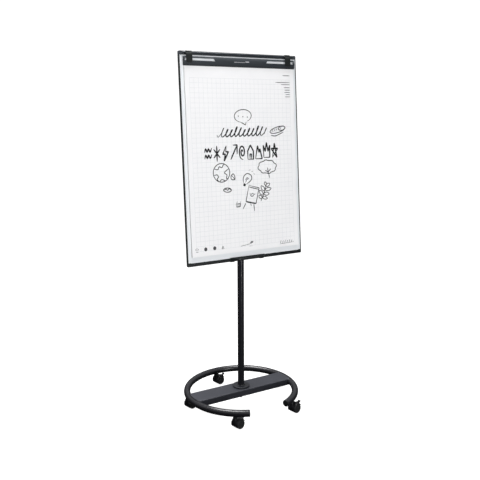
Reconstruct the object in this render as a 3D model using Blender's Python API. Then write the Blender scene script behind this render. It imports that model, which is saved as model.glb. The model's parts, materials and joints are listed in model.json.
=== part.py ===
"""Mobile flipchart easel: a tilting board on a telescoping column, on an open ring base with five castors.

Metres, +Z up, X across the board, -Y to the reader's side, the floor at z = 0.
"""
import math

import bmesh
import bpy
from mathutils import Matrix, Vector

GAP = 0.0003                 # clearance between pieces that touch

# Ring base
RING_RADIUS = 0.300          # centreline of the bent tube
RING_OPENING = 44.0          # degrees left open at the front
TUBE_RADIUS = 0.018
TUBE_WALL = 0.002
RING_Z = 0.0845              # centreline height
BEAM_DEPTH = 0.114
BEAM_HEIGHT = 2 * TUBE_RADIUS
BEAM_WALL = 0.0025
COLUMN_Y = -0.0192           # column axis, so that the easel's box is centred on the origin

# Column
FLANGE_RADIUS = 0.047
FLANGE_THICKNESS = 0.008
COLUMN_RADIUS = 0.018
COLUMN_WALL = 0.002
COLUMN_TOP = 0.9105
INNER_RADIUS = 0.0148
INNER_WALL = 0.002
INNER_BOTTOM = 0.6105
COLLAR_RADIUS = 0.022
COLLAR_OVERLAP = 0.026
COLLAR_RISE = 0.022
STUD_RADIUS = 0.005
STUD_LOW = 0.0355            # height of the stud's lower end, below the beam

# Tilt joint
TILT_Z = 1.2105              # height of the tilt axis
TILT = math.radians(3.8)     # lean of the board at rest
EYE_RADIUS = 0.014
TONGUE_WIDTH = 0.018
HEAD_RADIUS = 0.019
HEAD_DROP = 0.031            # from the tilt axis down to the head's shoulder
HEAD_LENGTH = 0.034
HEAD_CROWN = 0.003           # thickness of the head's top
SPIGOT_RADIUS = 0.007        # of the eye's spigot, through the head's top
PIVOT_RADIUS = 0.004
CHEEK_THICKNESS = 0.003
CHEEK_PLAY = 0.0004          # between the tongue and each cheek
PLATE_THICKNESS = 0.003

# Clamping knobs
KNOB_LOBES = 6
KNOB_RADIUS = 0.021
KNOB_THICKNESS = 0.016
HUB_RADIUS = 0.009

# Board, in its own frame: u across, v up from the lower edge, w out of the face
BOARD_WIDTH = 0.700
BOARD_HEIGHT = 1.082
BOARD_DEPTH = 0.012
AXIS_TO_FACE = 0.046         # tilt axis to the board's front plane
AXIS_TO_FOOT = 0.379         # tilt axis to the board's lower edge
SIDE_LIP = 0.006
TOP_LIP = 0.020
BOTTOM_LIP = 0.018
BACK_LIP = 0.012
SKIN = 0.0015                # thickness of the frame profiles' lips
EDGE_WALL = 0.002
CAP_SIZE = 0.020
CAP_CORNER = 0.006
FACE_W = -0.0018             # front of the writing surface
FACE_THICKNESS = 0.0008

# Hook rail: the round bead along the top rail, about which the clamp turns
BEAD_V = BOARD_HEIGHT - 0.007
BEAD_W = 0.005
BEAD_RADIUS = 0.0035
BEAD_NECK = 0.0014           # half the neck's width at the bead
BEAD_ROOT = 0.0020           # and at the rail

# Paper clamp
CLAMP_WIDTH = 0.660
CLAMP_LOW = 1.0085
CLAMP_HIGH = 1.056
CLAMP_BACK_W = 0.0078
CLAMP_BULGE = 0.0057
CLAMP_WALL = 0.0022
SLOT_V = 1.040
SLOT_HEIGHT = 0.012
SLOT_LENGTH = 0.170
SLOT_INSET = 0.008           # from the bar's end to the slot
SLOT_SLANT = 0.008           # of the slot's inner end
ARM_LEFT_U = -0.299          # where the arms stand along the bar at rest
ARM_RIGHT_U = 0.287
ARM_WIDTH = 0.034
ARM_LOW = 1.021
ARM_BACK_W = 0.0139
ARM_FRONT_W = 0.0185
CLIP_RADIUS = 0.0095
CLIP_BORE = 0.0044
CLIP_OPEN_TOP = 63.0         # degrees from the front, where the clip's jaw ends above
CLIP_OPEN_BOTTOM = -118.0    # and below
PEG_RADIUS = 0.0035

# Paper pad
PAD_WIDTH = 0.650
PAD_LOW = 0.048
PAD_HEIGHT = 0.980
BACKING_THICKNESS = 0.0012
PAD_FRONT_W = 0.0075

# Pen tray
TRAY_BACK_WIDTH = 0.210
TRAY_FRONT_WIDTH = 0.150
TRAY_DEPTH = 0.045
TRAY_FLOOR_V = 0.008
TRAY_TOP_V = 0.021
TRAY_WALL = 0.0022
TRAY_CORNER = 0.012
TRAY_CLIP_U = 0.090
TRAY_CLIP_WIDTH = 0.022
TRAY_CLIP_STRIP = 0.002

# Castors, in their own frame: x along the trail, y along the axle, the stem at x = 0
CASTOR_ANGLES = (90.0, 162.0, 234.0, 306.0, 18.0)
CASTOR_HEADING = 12.0        # degrees, direction in which every wheel trails at rest
WHEEL_RADIUS = 0.025
TRAIL = 0.022
WHEEL_INNER_Y = 0.005
WHEEL_OUTER_Y = 0.0238
AXLE_RADIUS = 0.003
GUARD_RADIUS = 0.0292
GUARD_BORE = 0.0266
GUARD_START = 28.0           # degrees about the axle
GUARD_END = 205.0
HUB_CHEEK = 0.008            # radius of the body's lower side, round the axle
FIN_HALF = 0.004
BOSS_RADIUS = 0.010
BOSS_TOP = 0.0575
STEM_RADIUS = 0.005
STEM_TOP = 0.0865
SOCKET_RADIUS = 0.0115
SOCKET_RISE = 0.0077         # from the tube's underside up round its curve
LEVER_ANGLE = 38.0
LEVER_REACH = 0.0315         # axle to the lever's pivot
LEVER_LENGTH = 0.017
LEVER_HALF = 0.0072
LEVER_RISE = math.radians(26.0)  # of the paddle when the brake is off


def clear_scene():
    for obj in list(bpy.data.objects):
        bpy.data.objects.remove(obj, do_unlink=True)


def material(name, colour, roughness, metallic):
    mat = bpy.data.materials.new(name)
    mat.use_nodes = True
    shader = mat.node_tree.nodes["Principled BSDF"]
    shader.inputs["Base Color"].default_value = (*colour, 1.0)
    shader.inputs["Roughness"].default_value = roughness
    shader.inputs["Metallic"].default_value = metallic
    return mat


def empty(name, location, rotation=(0.0, 0.0, 0.0), parent=None):
    obj = bpy.data.objects.new(name, None)
    bpy.context.scene.collection.objects.link(obj)
    obj.location = location
    obj.rotation_euler = rotation
    obj.parent = parent
    return obj


def add_object(name, bm, mat=None, parent=None, location=(0.0, 0.0, 0.0)):
    """Turns a bmesh into an object; its faces are made to point outwards."""
    bmesh.ops.recalc_face_normals(bm, faces=bm.faces)
    mesh = bpy.data.meshes.new(name)
    bm.to_mesh(mesh)
    bm.free()
    obj = bpy.data.objects.new(name, mesh)
    bpy.context.scene.collection.objects.link(obj)
    if mat:
        mesh.materials.append(mat)
    obj.parent = parent
    obj.location = location
    return obj


def combine(target, operation, bm):
    """Joins or cuts the target with another solid, in the target's own frame."""
    other = add_object("tool", bm)
    other.matrix_world = target.matrix_world
    modifier = target.modifiers.new("combine", "BOOLEAN")
    modifier.operation = operation
    modifier.object = other
    bpy.context.view_layer.update()
    result = bpy.data.meshes.new_from_object(target.evaluated_get(bpy.context.evaluated_depsgraph_get()))
    target.modifiers.clear()
    target.data = result
    bpy.data.objects.remove(other, do_unlink=True)
    return target


def arc(centre, radius, start, end, steps):
    """Points on an arc, angles in degrees."""
    angles = [math.radians(start + (end - start) * i / steps) for i in range(steps + 1)]
    return [(centre[0] + radius * math.cos(a), centre[1] + radius * math.sin(a)) for a in angles]


def rounded_rectangle(width, height, radius, steps=4, centre=(0.0, 0.0)):
    points = []
    corners = ((1, 1, 0), (-1, 1, 90), (-1, -1, 180), (1, -1, 270))
    for sx, sy, start in corners:
        middle = (centre[0] + sx * (width / 2 - radius), centre[1] + sy * (height / 2 - radius))
        points += arc(middle, radius, start, start + 90, steps)
    return points


def bridge(bm, lower, upper):
    """Faces between two loops of vertices; a loop of one vertex is a point that the other closes on."""
    count = max(len(lower), len(upper))
    for i in range(count):
        j = (i + 1) % count
        corners = (lower[i % len(lower)], lower[j % len(lower)])
        corners += (upper[j % len(upper)], upper[i % len(upper)])
        bm.faces.new(list(dict.fromkeys(corners)))


def prism(outline, low, high, place):
    """A solid between two copies of an outline; place(a, b, c) puts the outline's a, b at depth c."""
    bm = bmesh.new()
    layers = [[bm.verts.new(place(a, b, depth)) for a, b in outline] for depth in (low, high)]
    bm.faces.new(layers[0])
    bm.faces.new(layers[1])
    bridge(bm, *layers)
    return bm


def along_x(a, b, depth):
    return (depth, a, b)


def along_y(a, b, depth):
    return (a, depth, b)


def along_z(a, b, depth):
    return (a, b, depth)


def on_board(a, b, depth):
    """A front-view outline (u, v) at a given w."""
    return (a, -depth, b)


def board_section(a, b, depth):
    """A side-view outline (w, v) at a given u."""
    return (depth, -a, b)


def block(low, high):
    outline = ((low[0], low[1]), (high[0], low[1]), (high[0], high[1]), (low[0], high[1]))
    return prism(outline, low[2], high[2], along_z)


def lathe(profile, steps, place):
    """Turns a (radius, height) profile about an axis; place(a, b, c) takes the circle's a, b at height c.

    A profile with both ends off the axis is closed, and two points on the axis in a row aren't joined.
    """
    bm = bmesh.new()
    rings = []
    for radius, height in profile:
        turns = [2 * math.pi * i / steps for i in range(steps)] if radius else [0.0]
        ring = [place(radius * math.cos(turn), radius * math.sin(turn), height) for turn in turns]
        rings.append([bm.verts.new(point) for point in ring])
    pairs = list(zip(rings, rings[1:]))
    if profile[0][0] and profile[-1][0]:
        pairs.append((rings[-1], rings[0]))
    for lower, upper in pairs:
        if len(lower) > 1 or len(upper) > 1:
            bridge(bm, lower, upper)
    return bm


def tube_profile(outer, inner, low, high):
    return [(outer, low), (outer, high), (inner, high), (inner, low)]


def merge(*meshes):
    """Puts several solids in one bmesh."""
    result = meshes[0]
    for other in meshes[1:]:
        mesh = bpy.data.meshes.new("merge")
        other.to_mesh(mesh)
        other.free()
        result.from_mesh(mesh)
        bpy.data.meshes.remove(mesh)
    return result


def moved(bm, offset):
    bmesh.ops.translate(bm, verts=bm.verts, vec=Vector(offset))
    return bm


# ---------------------------------------------------------------- base

def ring_sweep(outer, inner, start, end, steps, sides=16):
    """A length of bent tube (or bar, when inner is None) along the ring's centreline."""
    bm = bmesh.new()
    skins = []
    for radius in (outer,) if inner is None else (outer, inner):
        skin = []
        for i in range(steps + 1):
            heading = math.radians(start + (end - start) * i / steps)
            loop = []
            for k in range(sides):
                turn = 2 * math.pi * k / sides
                reach = RING_RADIUS + radius * math.cos(turn)
                point = (reach * math.cos(heading), reach * math.sin(heading), radius * math.sin(turn))
                loop.append(bm.verts.new(point))
            skin.append(loop)
        for first, second in zip(skin, skin[1:]):
            bridge(bm, first, second)
        skins.append(skin)
    for end_index in (0, -1):
        if inner is None:
            bm.faces.new(skins[0][end_index])
        else:
            bridge(bm, skins[0][end_index], skins[1][end_index])
    return bm


def ring_ends():
    return -90.0 + RING_OPENING / 2, 270.0 - RING_OPENING / 2


def castor_point(angle):
    return (RING_RADIUS * math.cos(math.radians(angle)), RING_RADIUS * math.sin(math.radians(angle)))


def base_ring(mat):
    start, end = ring_ends()
    bm = ring_sweep(TUBE_RADIUS, TUBE_RADIUS - TUBE_WALL, start, end, 72)
    ring = add_object("base_ring", bm, mat, location=(0.0, COLUMN_Y, RING_Z))
    bpy.context.view_layer.update()
    drills = []
    for angle in CASTOR_ANGLES:
        x, y = castor_point(angle)
        drill = lathe([(0, -0.025), (0.0056, -0.025), (0.0056, -0.010), (0, -0.010)], 16, along_z)
        drills.append(moved(drill, (x, y, 0.0)))
    return combine(ring, "DIFFERENCE", merge(*drills))


def ring_plug(name, at_start, mat):
    """A domed plastic plug: a spigot inside the tube and a flange over its end."""
    start, end = ring_ends()
    angle, outward = (start, -1) if at_start else (end, 1)
    spigot = TUBE_RADIUS - TUBE_WALL - 2 * GAP
    profile = [(0, -0.009), (spigot, -0.009), (spigot, GAP), (TUBE_RADIUS, GAP), (TUBE_RADIUS, 0.0015)]
    profile += [(TUBE_RADIUS * 0.9, 0.0032), (TUBE_RADIUS * 0.6, 0.0042), (0, 0.0046)]
    plug = add_object(name, lathe(profile, 16, along_z), mat)
    tangent = Vector((-math.sin(math.radians(angle)), math.cos(math.radians(angle)), 0.0)) * outward
    inward = Vector((-math.cos(math.radians(angle)), -math.sin(math.radians(angle)), 0.0))
    frame = Matrix((inward, tangent.cross(inward), tangent)).transposed().to_4x4()
    x, y = castor_point(angle)
    plug.matrix_world = Matrix.Translation((x, y + COLUMN_Y, RING_Z)) @ frame
    return plug


def beam_loop(inset):
    """The beam's cross section (y, z), with extra points where its ends are coped round the tube."""
    half_y = BEAM_DEPTH / 2 - inset
    half_z = BEAM_HEIGHT / 2 - inset
    corner = 0.004 - inset
    points = []
    for sy, sz, start in ((1, 1, 0), (-1, 1, 90), (-1, -1, 180), (1, -1, 270)):
        middle = (sy * (half_y - corner), sz * (half_z - corner))
        points += arc(middle, corner, start, start + 90, 2)
        for share in (2 / 3, 1 / 3, 0.0, -1 / 3, -2 / 3):
            across = start in (0, 180)
            points.append((middle[0] * share, sz * half_z) if across else (sy * half_y, middle[1] * share))
    return points


def cross_beam(mat):
    """A flat box tube across the ring, its ends coped to the ring's tube."""
    bm = bmesh.new()
    clear = TUBE_RADIUS + 2 * GAP
    skins = []
    for inset in (0.0, BEAM_WALL):
        left, right = [], []
        for y, z in beam_loop(inset):
            reach = RING_RADIUS - math.sqrt(max(clear * clear - z * z, 0.0))
            x = math.sqrt(reach * reach - y * y)
            left.append(bm.verts.new((-x, y, z)))
            right.append(bm.verts.new((x, y, z)))
        bridge(bm, left, right)
        skins.append((left, right))
    for outer, inner in zip(*skins):
        bridge(bm, outer, inner)
    beam = add_object("cross_beam", bm, mat, location=(0.0, COLUMN_Y, RING_Z))
    bpy.context.view_layer.update()
    drill = lathe([(0, -0.03), (STUD_RADIUS + GAP, -0.03), (STUD_RADIUS + GAP, 0.03), (0, 0.03)], 16, along_z)
    return combine(beam, "DIFFERENCE", drill)


def beam_top():
    return RING_Z + BEAM_HEIGHT / 2


def flange_top():
    return beam_top() + GAP + FLANGE_THICKNESS


def column_flange(mat):
    """A round foot on the beam, with a spigot that the column is pressed on to."""
    low, high = beam_top() + GAP, flange_top()
    spigot, bore, tip = COLUMN_RADIUS - COLUMN_WALL - GAP, STUD_RADIUS + GAP, low + 0.042
    chamfer = 0.002
    profile = [(bore, low), (FLANGE_RADIUS, low), (FLANGE_RADIUS, high - chamfer)]
    profile += [(FLANGE_RADIUS - chamfer, high), (spigot, high), (spigot, tip), (bore, tip)]
    return add_object("column_flange", lathe(profile, 36, along_z), mat, location=(0.0, COLUMN_Y, 0.0))


def column_bolt(mat):
    """The stud that holds the column, with its washer and nut under the beam."""
    seat = RING_Z - BEAM_HEIGHT / 2 - GAP
    washer, nut = 0.0025, 0.008
    profile = [(0, STUD_LOW), (STUD_RADIUS - 0.001, STUD_LOW), (STUD_RADIUS, STUD_LOW + 0.001)]
    profile += [(STUD_RADIUS, seat - washer), (0.016, seat - washer), (0.016, seat), (STUD_RADIUS, seat)]
    profile += [(STUD_RADIUS, seat + 0.070), (0, seat + 0.070)]
    bolt = add_object("column_bolt", lathe(profile, 20, along_z), mat, location=(0.0, COLUMN_Y, 0.0))
    bpy.context.view_layer.update()
    hexagon = prism(arc((0, 0), 0.0098, 0, 300, 5), seat - washer - nut, seat - washer + 0.001, along_z)
    return combine(bolt, "UNION", hexagon)


# ---------------------------------------------------------------- column

def column_tube(mat):
    profile = tube_profile(COLUMN_RADIUS, COLUMN_RADIUS - COLUMN_WALL, flange_top() + GAP, COLUMN_TOP)
    return add_object("column_tube", lathe(profile, 24, along_z), mat, location=(0.0, COLUMN_Y, 0.0))


def knob_height():
    return COLUMN_TOP + COLLAR_RISE / 2 + GAP


def column_collar(mat):
    """The bush on top of the outer tube, with a boss for the height knob's screw at the back."""
    low, high = COLUMN_TOP - COLLAR_OVERLAP, COLUMN_TOP + COLLAR_RISE
    seat = COLUMN_TOP + GAP
    outer_bore, inner_bore = COLUMN_RADIUS + GAP, INNER_RADIUS + 2 * GAP
    profile = [(outer_bore, low), (COLLAR_RADIUS - 0.001, low), (COLLAR_RADIUS, low + 0.002)]
    profile += [(COLLAR_RADIUS, high - 0.004), (COLLAR_RADIUS - 0.003, high), (inner_bore, high)]
    profile += [(inner_bore, seat), (outer_bore, seat)]
    collar = add_object("column_collar", lathe(profile, 24, along_z), mat, location=(0.0, COLUMN_Y, 0.0))
    bpy.context.view_layer.update()
    boss = lathe([(0, 0.0185), (0.009, 0.0185), (0.009, 0.028), (0.008, 0.030), (0, 0.030)], 16, along_y)
    combine(collar, "UNION", moved(boss, (0.0, 0.0, knob_height())))
    drill = lathe([(0, 0.010), (0.0043, 0.010), (0.0043, 0.035), (0, 0.035)], 16, along_y)
    return combine(collar, "DIFFERENCE", moved(drill, (0.0, 0.0, knob_height())))


def star_grip(low, place, bevel=0.002):
    """The lobed grip of a clamping knob, from low outwards."""
    high = low + KNOB_THICKNESS
    outline = []
    for i in range(KNOB_LOBES * 4):
        angle = 2 * math.pi * i / (KNOB_LOBES * 4)
        reach = KNOB_RADIUS * (0.90 + 0.10 * math.cos(KNOB_LOBES * angle))
        outline.append((reach * math.cos(angle), reach * math.sin(angle)))
    shrink = 1 - bevel / KNOB_RADIUS
    small = [(a * shrink, b * shrink) for a, b in outline]
    bm = bmesh.new()
    layers = []
    for points, depth in ((small, low), (outline, low + bevel), (outline, high - bevel), (small, high)):
        layers.append([bm.verts.new(place(a, b, depth)) for a, b in points])
    bm.faces.new(layers[0])
    bm.faces.new(layers[-1])
    for lower, upper in zip(layers, layers[1:]):
        bridge(bm, lower, upper)
    return bm


def height_knob(mat):
    """A star knob whose screw bears on the inner tube."""
    tip, hub = INNER_RADIUS + GAP, 0.0325
    screw = 0.0039
    profile = [(0, tip), (screw - 0.0009, tip), (screw, tip + 0.001), (screw, hub), (HUB_RADIUS, hub)]
    profile += [(HUB_RADIUS, hub + 0.0075), (0, hub + 0.0075)]
    place = (0.0, COLUMN_Y, knob_height())
    knob = add_object("height_knob", lathe(profile, 16, along_y), mat, location=place)
    bpy.context.view_layer.update()
    return combine(knob, "UNION", star_grip(hub + 0.0035, along_y))


def inner_tube(mat, lift):
    low, high = INNER_BOTTOM - TILT_Z, -HEAD_DROP - HEAD_CROWN
    profile = tube_profile(INNER_RADIUS, INNER_RADIUS - INNER_WALL, low, high)
    return add_object("inner_tube", lathe(profile, 24, along_z), mat, lift)


def inner_foot(mat, lift):
    """The guide plug at the inner tube's lower end, a sliding fit in the outer tube."""
    base = INNER_BOTTOM - TILT_Z - GAP
    spigot = INNER_RADIUS - INNER_WALL - GAP
    guide = COLUMN_RADIUS - COLUMN_WALL - 2 * GAP
    bore = 0.006
    profile = [(bore, base - 0.010), (guide, base - 0.010), (guide, base), (spigot, base)]
    profile += [(spigot, base + 0.020), (bore, base + 0.020)]
    return add_object("inner_foot", lathe(profile, 24, along_z), mat, lift)


# ---------------------------------------------------------------- tilt joint

def tilt_head(mat, lift):
    """A cast cap on the inner tube, bored for the eye's spigot."""
    shoulder = -HEAD_DROP
    low = shoulder - HEAD_LENGTH
    bore = INNER_RADIUS + GAP
    roof = shoulder - HEAD_CROWN + GAP
    profile = [(bore, low), (HEAD_RADIUS, low), (HEAD_RADIUS, shoulder - 0.003)]
    hole = SPIGOT_RADIUS + GAP
    profile += [(HEAD_RADIUS - 0.003, shoulder), (hole, shoulder), (hole, roof), (bore, roof)]
    return add_object("tilt_head", lathe(profile, 24, along_z), mat, lift)


def tilt_eye(mat, lift):
    """The eye on top of the head: a tongue that carries the tilt bolt, on a spigot through the head's top."""
    foot = GAP - HEAD_DROP
    outline = arc((0, 0), EYE_RADIUS, 0, 180, 10) + [(-EYE_RADIUS, foot), (EYE_RADIUS, foot)]
    eye = add_object("tilt_eye", prism(outline, -TONGUE_WIDTH / 2, TONGUE_WIDTH / 2, along_x), mat, lift)
    bpy.context.view_layer.update()
    tip, root = foot - 0.014, foot + 0.004
    spigot = lathe([(0, tip), (SPIGOT_RADIUS, tip), (SPIGOT_RADIUS, root), (0, root)], 16, along_z)
    combine(eye, "UNION", spigot)
    bore = PIVOT_RADIUS + GAP
    drill = lathe([(0, -0.03), (bore, -0.03), (bore, 0.03), (0, 0.03)], 16, along_x)
    return combine(eye, "DIFFERENCE", drill)


def tilt_bracket(mat, tilt):
    """A steel plate on the board's back with two cheeks that straddle the head's tongue."""
    back = -(AXIS_TO_FACE - BOARD_DEPTH)
    front_y = back + GAP
    plate_y = front_y + PLATE_THICKNESS
    plate = prism(rounded_rectangle(0.096, 0.120, 0.008), front_y, plate_y, along_y)
    bracket = add_object("tilt_bracket", plate, mat, tilt)
    bpy.context.view_layer.update()
    outline = [(plate_y - 0.001, -0.030), (0.0, -EYE_RADIUS)] + arc((0, 0), EYE_RADIUS, -75, 75, 8)
    outline += [(0.0, EYE_RADIUS), (plate_y - 0.001, 0.040)]
    inner = TONGUE_WIDTH / 2 + CHEEK_PLAY
    for side in (-1, 1):
        low, high = sorted((side * inner, side * (inner + CHEEK_THICKNESS)))
        combine(bracket, "UNION", prism(outline, low, high, along_x))
    bore = PIVOT_RADIUS + GAP
    drill = lathe([(0, -0.03), (bore, -0.03), (bore, 0.03), (0, 0.03)], 16, along_x)
    return combine(bracket, "DIFFERENCE", drill)


def cheek_face():
    return TONGUE_WIDTH / 2 + CHEEK_PLAY + CHEEK_THICKNESS + GAP


def tilt_bolt(mat, tilt):
    seat = -cheek_face()
    washer, tip = 0.0085, 0.030
    profile = [(0, seat - 0.0012), (washer, seat - 0.001), (washer, seat), (PIVOT_RADIUS, seat)]
    profile += [(PIVOT_RADIUS, tip), (0, tip)]
    bolt = add_object("tilt_bolt", lathe(profile, 16, along_x), mat, tilt)
    bpy.context.view_layer.update()
    head = prism(arc((0, 0), 0.0075, 0, 300, 5), seat - 0.0065, seat - 0.0005, along_x)
    return combine(bolt, "UNION", head)


def tilt_knob(mat, tilt):
    seat = cheek_face()
    knob = add_object("tilt_knob", star_grip(seat + 0.008, along_x), mat, tilt)
    bpy.context.view_layer.update()
    top = seat + 0.010
    hub = lathe([(0, seat), (HUB_RADIUS, seat), (HUB_RADIUS + 0.001, top), (0, top)], 16, along_x)
    combine(knob, "UNION", hub)
    bore = PIVOT_RADIUS + GAP
    drill = lathe([(0, 0.0), (bore, 0.0), (bore, 0.0305), (0, 0.0305)], 16, along_x)
    return combine(knob, "DIFFERENCE", drill)


# ---------------------------------------------------------------- board

def channel(lip):
    """Edge profile (outward distance, w): a channel with a front lip, a wall and a back lip."""
    return [(0.0, -BOARD_DEPTH), (0.0, 0.0), (-lip, 0.0), (-lip, -SKIN), (-EDGE_WALL, -SKIN),
            (-EDGE_WALL, SKIN - BOARD_DEPTH), (-BACK_LIP, SKIN - BOARD_DEPTH), (-BACK_LIP, -BOARD_DEPTH)]


def side_profile(name, side, mat, tilt, origin):
    outline = [(side * (BOARD_WIDTH / 2 + a), -w) for a, w in channel(SIDE_LIP)]
    bm = prism(outline, CAP_SIZE + GAP, BOARD_HEIGHT - CAP_SIZE - GAP, along_z)
    return add_object(name, bm, mat, tilt, origin)


def bottom_rail(mat, tilt, origin):
    outline = [(w, -a) for a, w in channel(BOTTOM_LIP)]
    bm = prism(outline, -rail_half(), rail_half(), board_section)
    return add_object("bottom_rail", bm, mat, tilt, origin)


def rail_half():
    """Half the length of the rails between the corner caps."""
    return BOARD_WIDTH / 2 - CAP_SIZE - GAP


def top_rail(mat, tilt, origin):
    outline = [(w, BOARD_HEIGHT + a) for a, w in channel(TOP_LIP)]
    bm = prism(outline, -rail_half(), rail_half(), board_section)
    return add_object("top_rail", bm, mat, tilt, origin)


def hook_rail(mat, tilt, origin):
    """A round bead on a neck along the top rail's front, on which the clamp's arms turn and slide."""
    start = math.degrees(math.asin(BEAD_NECK / BEAD_RADIUS))
    outline = [(GAP, BEAD_V + BEAD_ROOT)] + arc((BEAD_W, BEAD_V), BEAD_RADIUS, 180 - start, start - 180, 12)
    outline += [(GAP, BEAD_V - BEAD_ROOT)]
    bm = prism(outline, -rail_half(), rail_half(), board_section)
    return add_object("hook_rail", bm, mat, tilt, origin)


def corner_cap(name, side, upper, mat, tilt, origin):
    """A moulded corner: a rounded block with a pocket for the board's corner."""
    centre_u = side * (BOARD_WIDTH / 2 - CAP_SIZE / 2)
    foot = BOARD_HEIGHT - CAP_SIZE if upper else 0.0
    sharp = side * (BOARD_WIDTH / 2 - CAP_SIZE)
    edge = side * BOARD_WIDTH / 2
    near, far = (foot, foot + CAP_SIZE) if upper else (foot + CAP_SIZE, foot)
    turn = 1 if upper else -1
    middle = (edge - side * CAP_CORNER, far - turn * CAP_CORNER)
    sweep = (0, 90 * turn) if side > 0 else (180, 180 - 90 * turn)
    outline = [(sharp, near), (edge, near)] + arc(middle, CAP_CORNER, *sweep, 4) + [(sharp, far)]
    cap = add_object(name, prism(outline, -BOARD_DEPTH, 0.0, on_board), mat, tilt, origin)
    bpy.context.view_layer.update()
    inner_u = edge - side * EDGE_WALL
    inner_v = far - turn * EDGE_WALL
    low_u, high_u = sorted((inner_u, centre_u - side * CAP_SIZE))
    low_v, high_v = sorted((inner_v, near - turn * 0.01))
    pocket = block((low_u, SKIN, low_v), (high_u, BOARD_DEPTH - SKIN, high_v))
    return combine(cap, "DIFFERENCE", pocket)


def panel(name, low_w, high_w, mat, tilt, origin):
    half = BOARD_WIDTH / 2 - EDGE_WALL - GAP
    low, high = EDGE_WALL + GAP, BOARD_HEIGHT - EDGE_WALL - GAP
    return add_object(name, block((-half, -high_w, low), (half, -low_w, high)), mat, tilt, origin)


def sheet_block(name, low_w, high_w, mat, tilt, origin):
    half = PAD_WIDTH / 2
    bm = block((-half, -high_w, PAD_LOW), (half, -low_w, PAD_LOW + PAD_HEIGHT))
    return add_object(name, bm, mat, tilt, origin)


# ---------------------------------------------------------------- paper clamp

def clamp_curve(offset):
    """The bar's bowed face, as (w, v) points from its lower edge to its upper edge."""
    middle = (CLAMP_LOW + CLAMP_HIGH) / 2
    half = (CLAMP_HIGH - CLAMP_LOW) / 2 - offset * 0.5
    points = []
    for i in range(11):
        t = -1 + 2 * i / 10
        bulge = CLAMP_BULGE * (1 - abs(t) ** 3)
        points.append((CLAMP_BACK_W + bulge - offset, middle + half * t))
    return points


def slot_outline(side):
    """A slot in the bar, (u, v) about the bead, with a slanted inner end."""
    outer = CLAMP_WIDTH / 2 - SLOT_INSET
    inner = outer - SLOT_LENGTH
    low, high = (SLOT_V - BEAD_V + half for half in (-SLOT_HEIGHT / 2, SLOT_HEIGHT / 2))
    return [(side * u, v) for u, v in ((outer, low), (outer, high), (inner + SLOT_SLANT, high), (inner, low))]


def clamp_bar(mat, hinge):
    outer = clamp_curve(0.0)
    inner = clamp_curve(CLAMP_WALL)
    inner = [(max(w, CLAMP_BACK_W), v) for w, v in inner[1:-1]]
    outline = [(w - BEAD_W, v - BEAD_V) for w, v in outer + inner[::-1]]
    half = CLAMP_WIDTH / 2
    bar = add_object("clamp_bar", prism(outline, -half, half, board_section), mat, hinge)
    bpy.context.view_layer.update()
    cutters = [prism(slot_outline(side), -0.01, 0.03, on_board) for side in (-1, 1)]
    return combine(bar, "DIFFERENCE", merge(*cutters))


def clamp_end(name, side, mat, hinge):
    """A thin moulded cap that closes the bar's end."""
    outer = [(w - BEAD_W, v - BEAD_V) for w, v in clamp_curve(0.0)]
    low, high = sorted((side * (CLAMP_WIDTH / 2 + GAP), side * (CLAMP_WIDTH / 2 + 0.0018)))
    return add_object(name, prism(outer, low, high, board_section), mat, hinge)


def clamp_arm(name, place, mat, hinge):
    """An arm that clips round the top rail's bead, crosses the bar and ends in a peg through its slot."""
    jaw = arc((0, 0), CLIP_RADIUS, CLIP_OPEN_TOP, -10, 6)
    front, back = ARM_FRONT_W - BEAD_W, ARM_BACK_W - BEAD_W
    low = ARM_LOW - BEAD_V
    outline = jaw + [(front, -0.011), (front, low + 0.002), (front - 0.0015, low)]
    outline += [(back, low), (back, -0.018)]
    outline += arc((0, 0), CLIP_RADIUS, -62, CLIP_OPEN_BOTTOM, 5)
    outline += arc((0, 0), CLIP_BORE, CLIP_OPEN_BOTTOM, CLIP_OPEN_TOP, 15)
    arm = add_object(name, prism(outline, -ARM_WIDTH / 2, ARM_WIDTH / 2, board_section), mat, hinge,
                     (place, 0.0, 0.0))
    bpy.context.view_layer.update()
    height = CLIP_RADIUS - low + 0.004
    face = rounded_rectangle(ARM_WIDTH - 0.001, height, 0.009, 4, (0.0, CLIP_RADIUS + 0.004 - height / 2))
    combine(arm, "INTERSECT", prism(face, -0.02, 0.03, on_board))
    tip, root = FACE_W + 0.001 - BEAD_W, back + 0.002
    profile = [(0, -tip), (PEG_RADIUS - 0.0008, -tip), (PEG_RADIUS, -tip - 0.001)]
    profile += [(PEG_RADIUS, -root), (0, -root)]
    peg = lathe(profile, 14, along_y)
    return combine(arm, "UNION", moved(peg, (0.0, 0.0, SLOT_V - BEAD_V)))


# ---------------------------------------------------------------- pen tray

def tray_outline(inset):
    """Plan (u, w) of the tray: a rounded trapezoid, wide at the rail."""
    back, front = TRAY_BACK_WIDTH / 2 - 1.3 * inset, TRAY_FRONT_WIDTH / 2 - 0.7 * inset
    rear, lip = GAP + inset, TRAY_DEPTH - inset
    corner = TRAY_CORNER - inset / 2
    shoulder = rear + 0.008
    half = [(back, rear), (back, shoulder), (front + corner * 0.25, lip - corner)]
    half += [(front - corner * 0.2, lip - corner * 0.3), (front - corner, lip)]
    return half + [(-a, w) for a, w in reversed(half)]


def pen_tray(mat, tilt, origin):
    def place(a, b, depth):
        return (a, -b, depth)

    bm = prism(tray_outline(0.0), TRAY_FLOOR_V, TRAY_TOP_V, place)
    tray = add_object("pen_tray", bm, mat, tilt, origin)
    bpy.context.view_layer.update()
    return combine(tray, "DIFFERENCE", prism(tray_outline(TRAY_WALL), TRAY_FLOOR_V + TRAY_WALL, 0.05, place))


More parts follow.
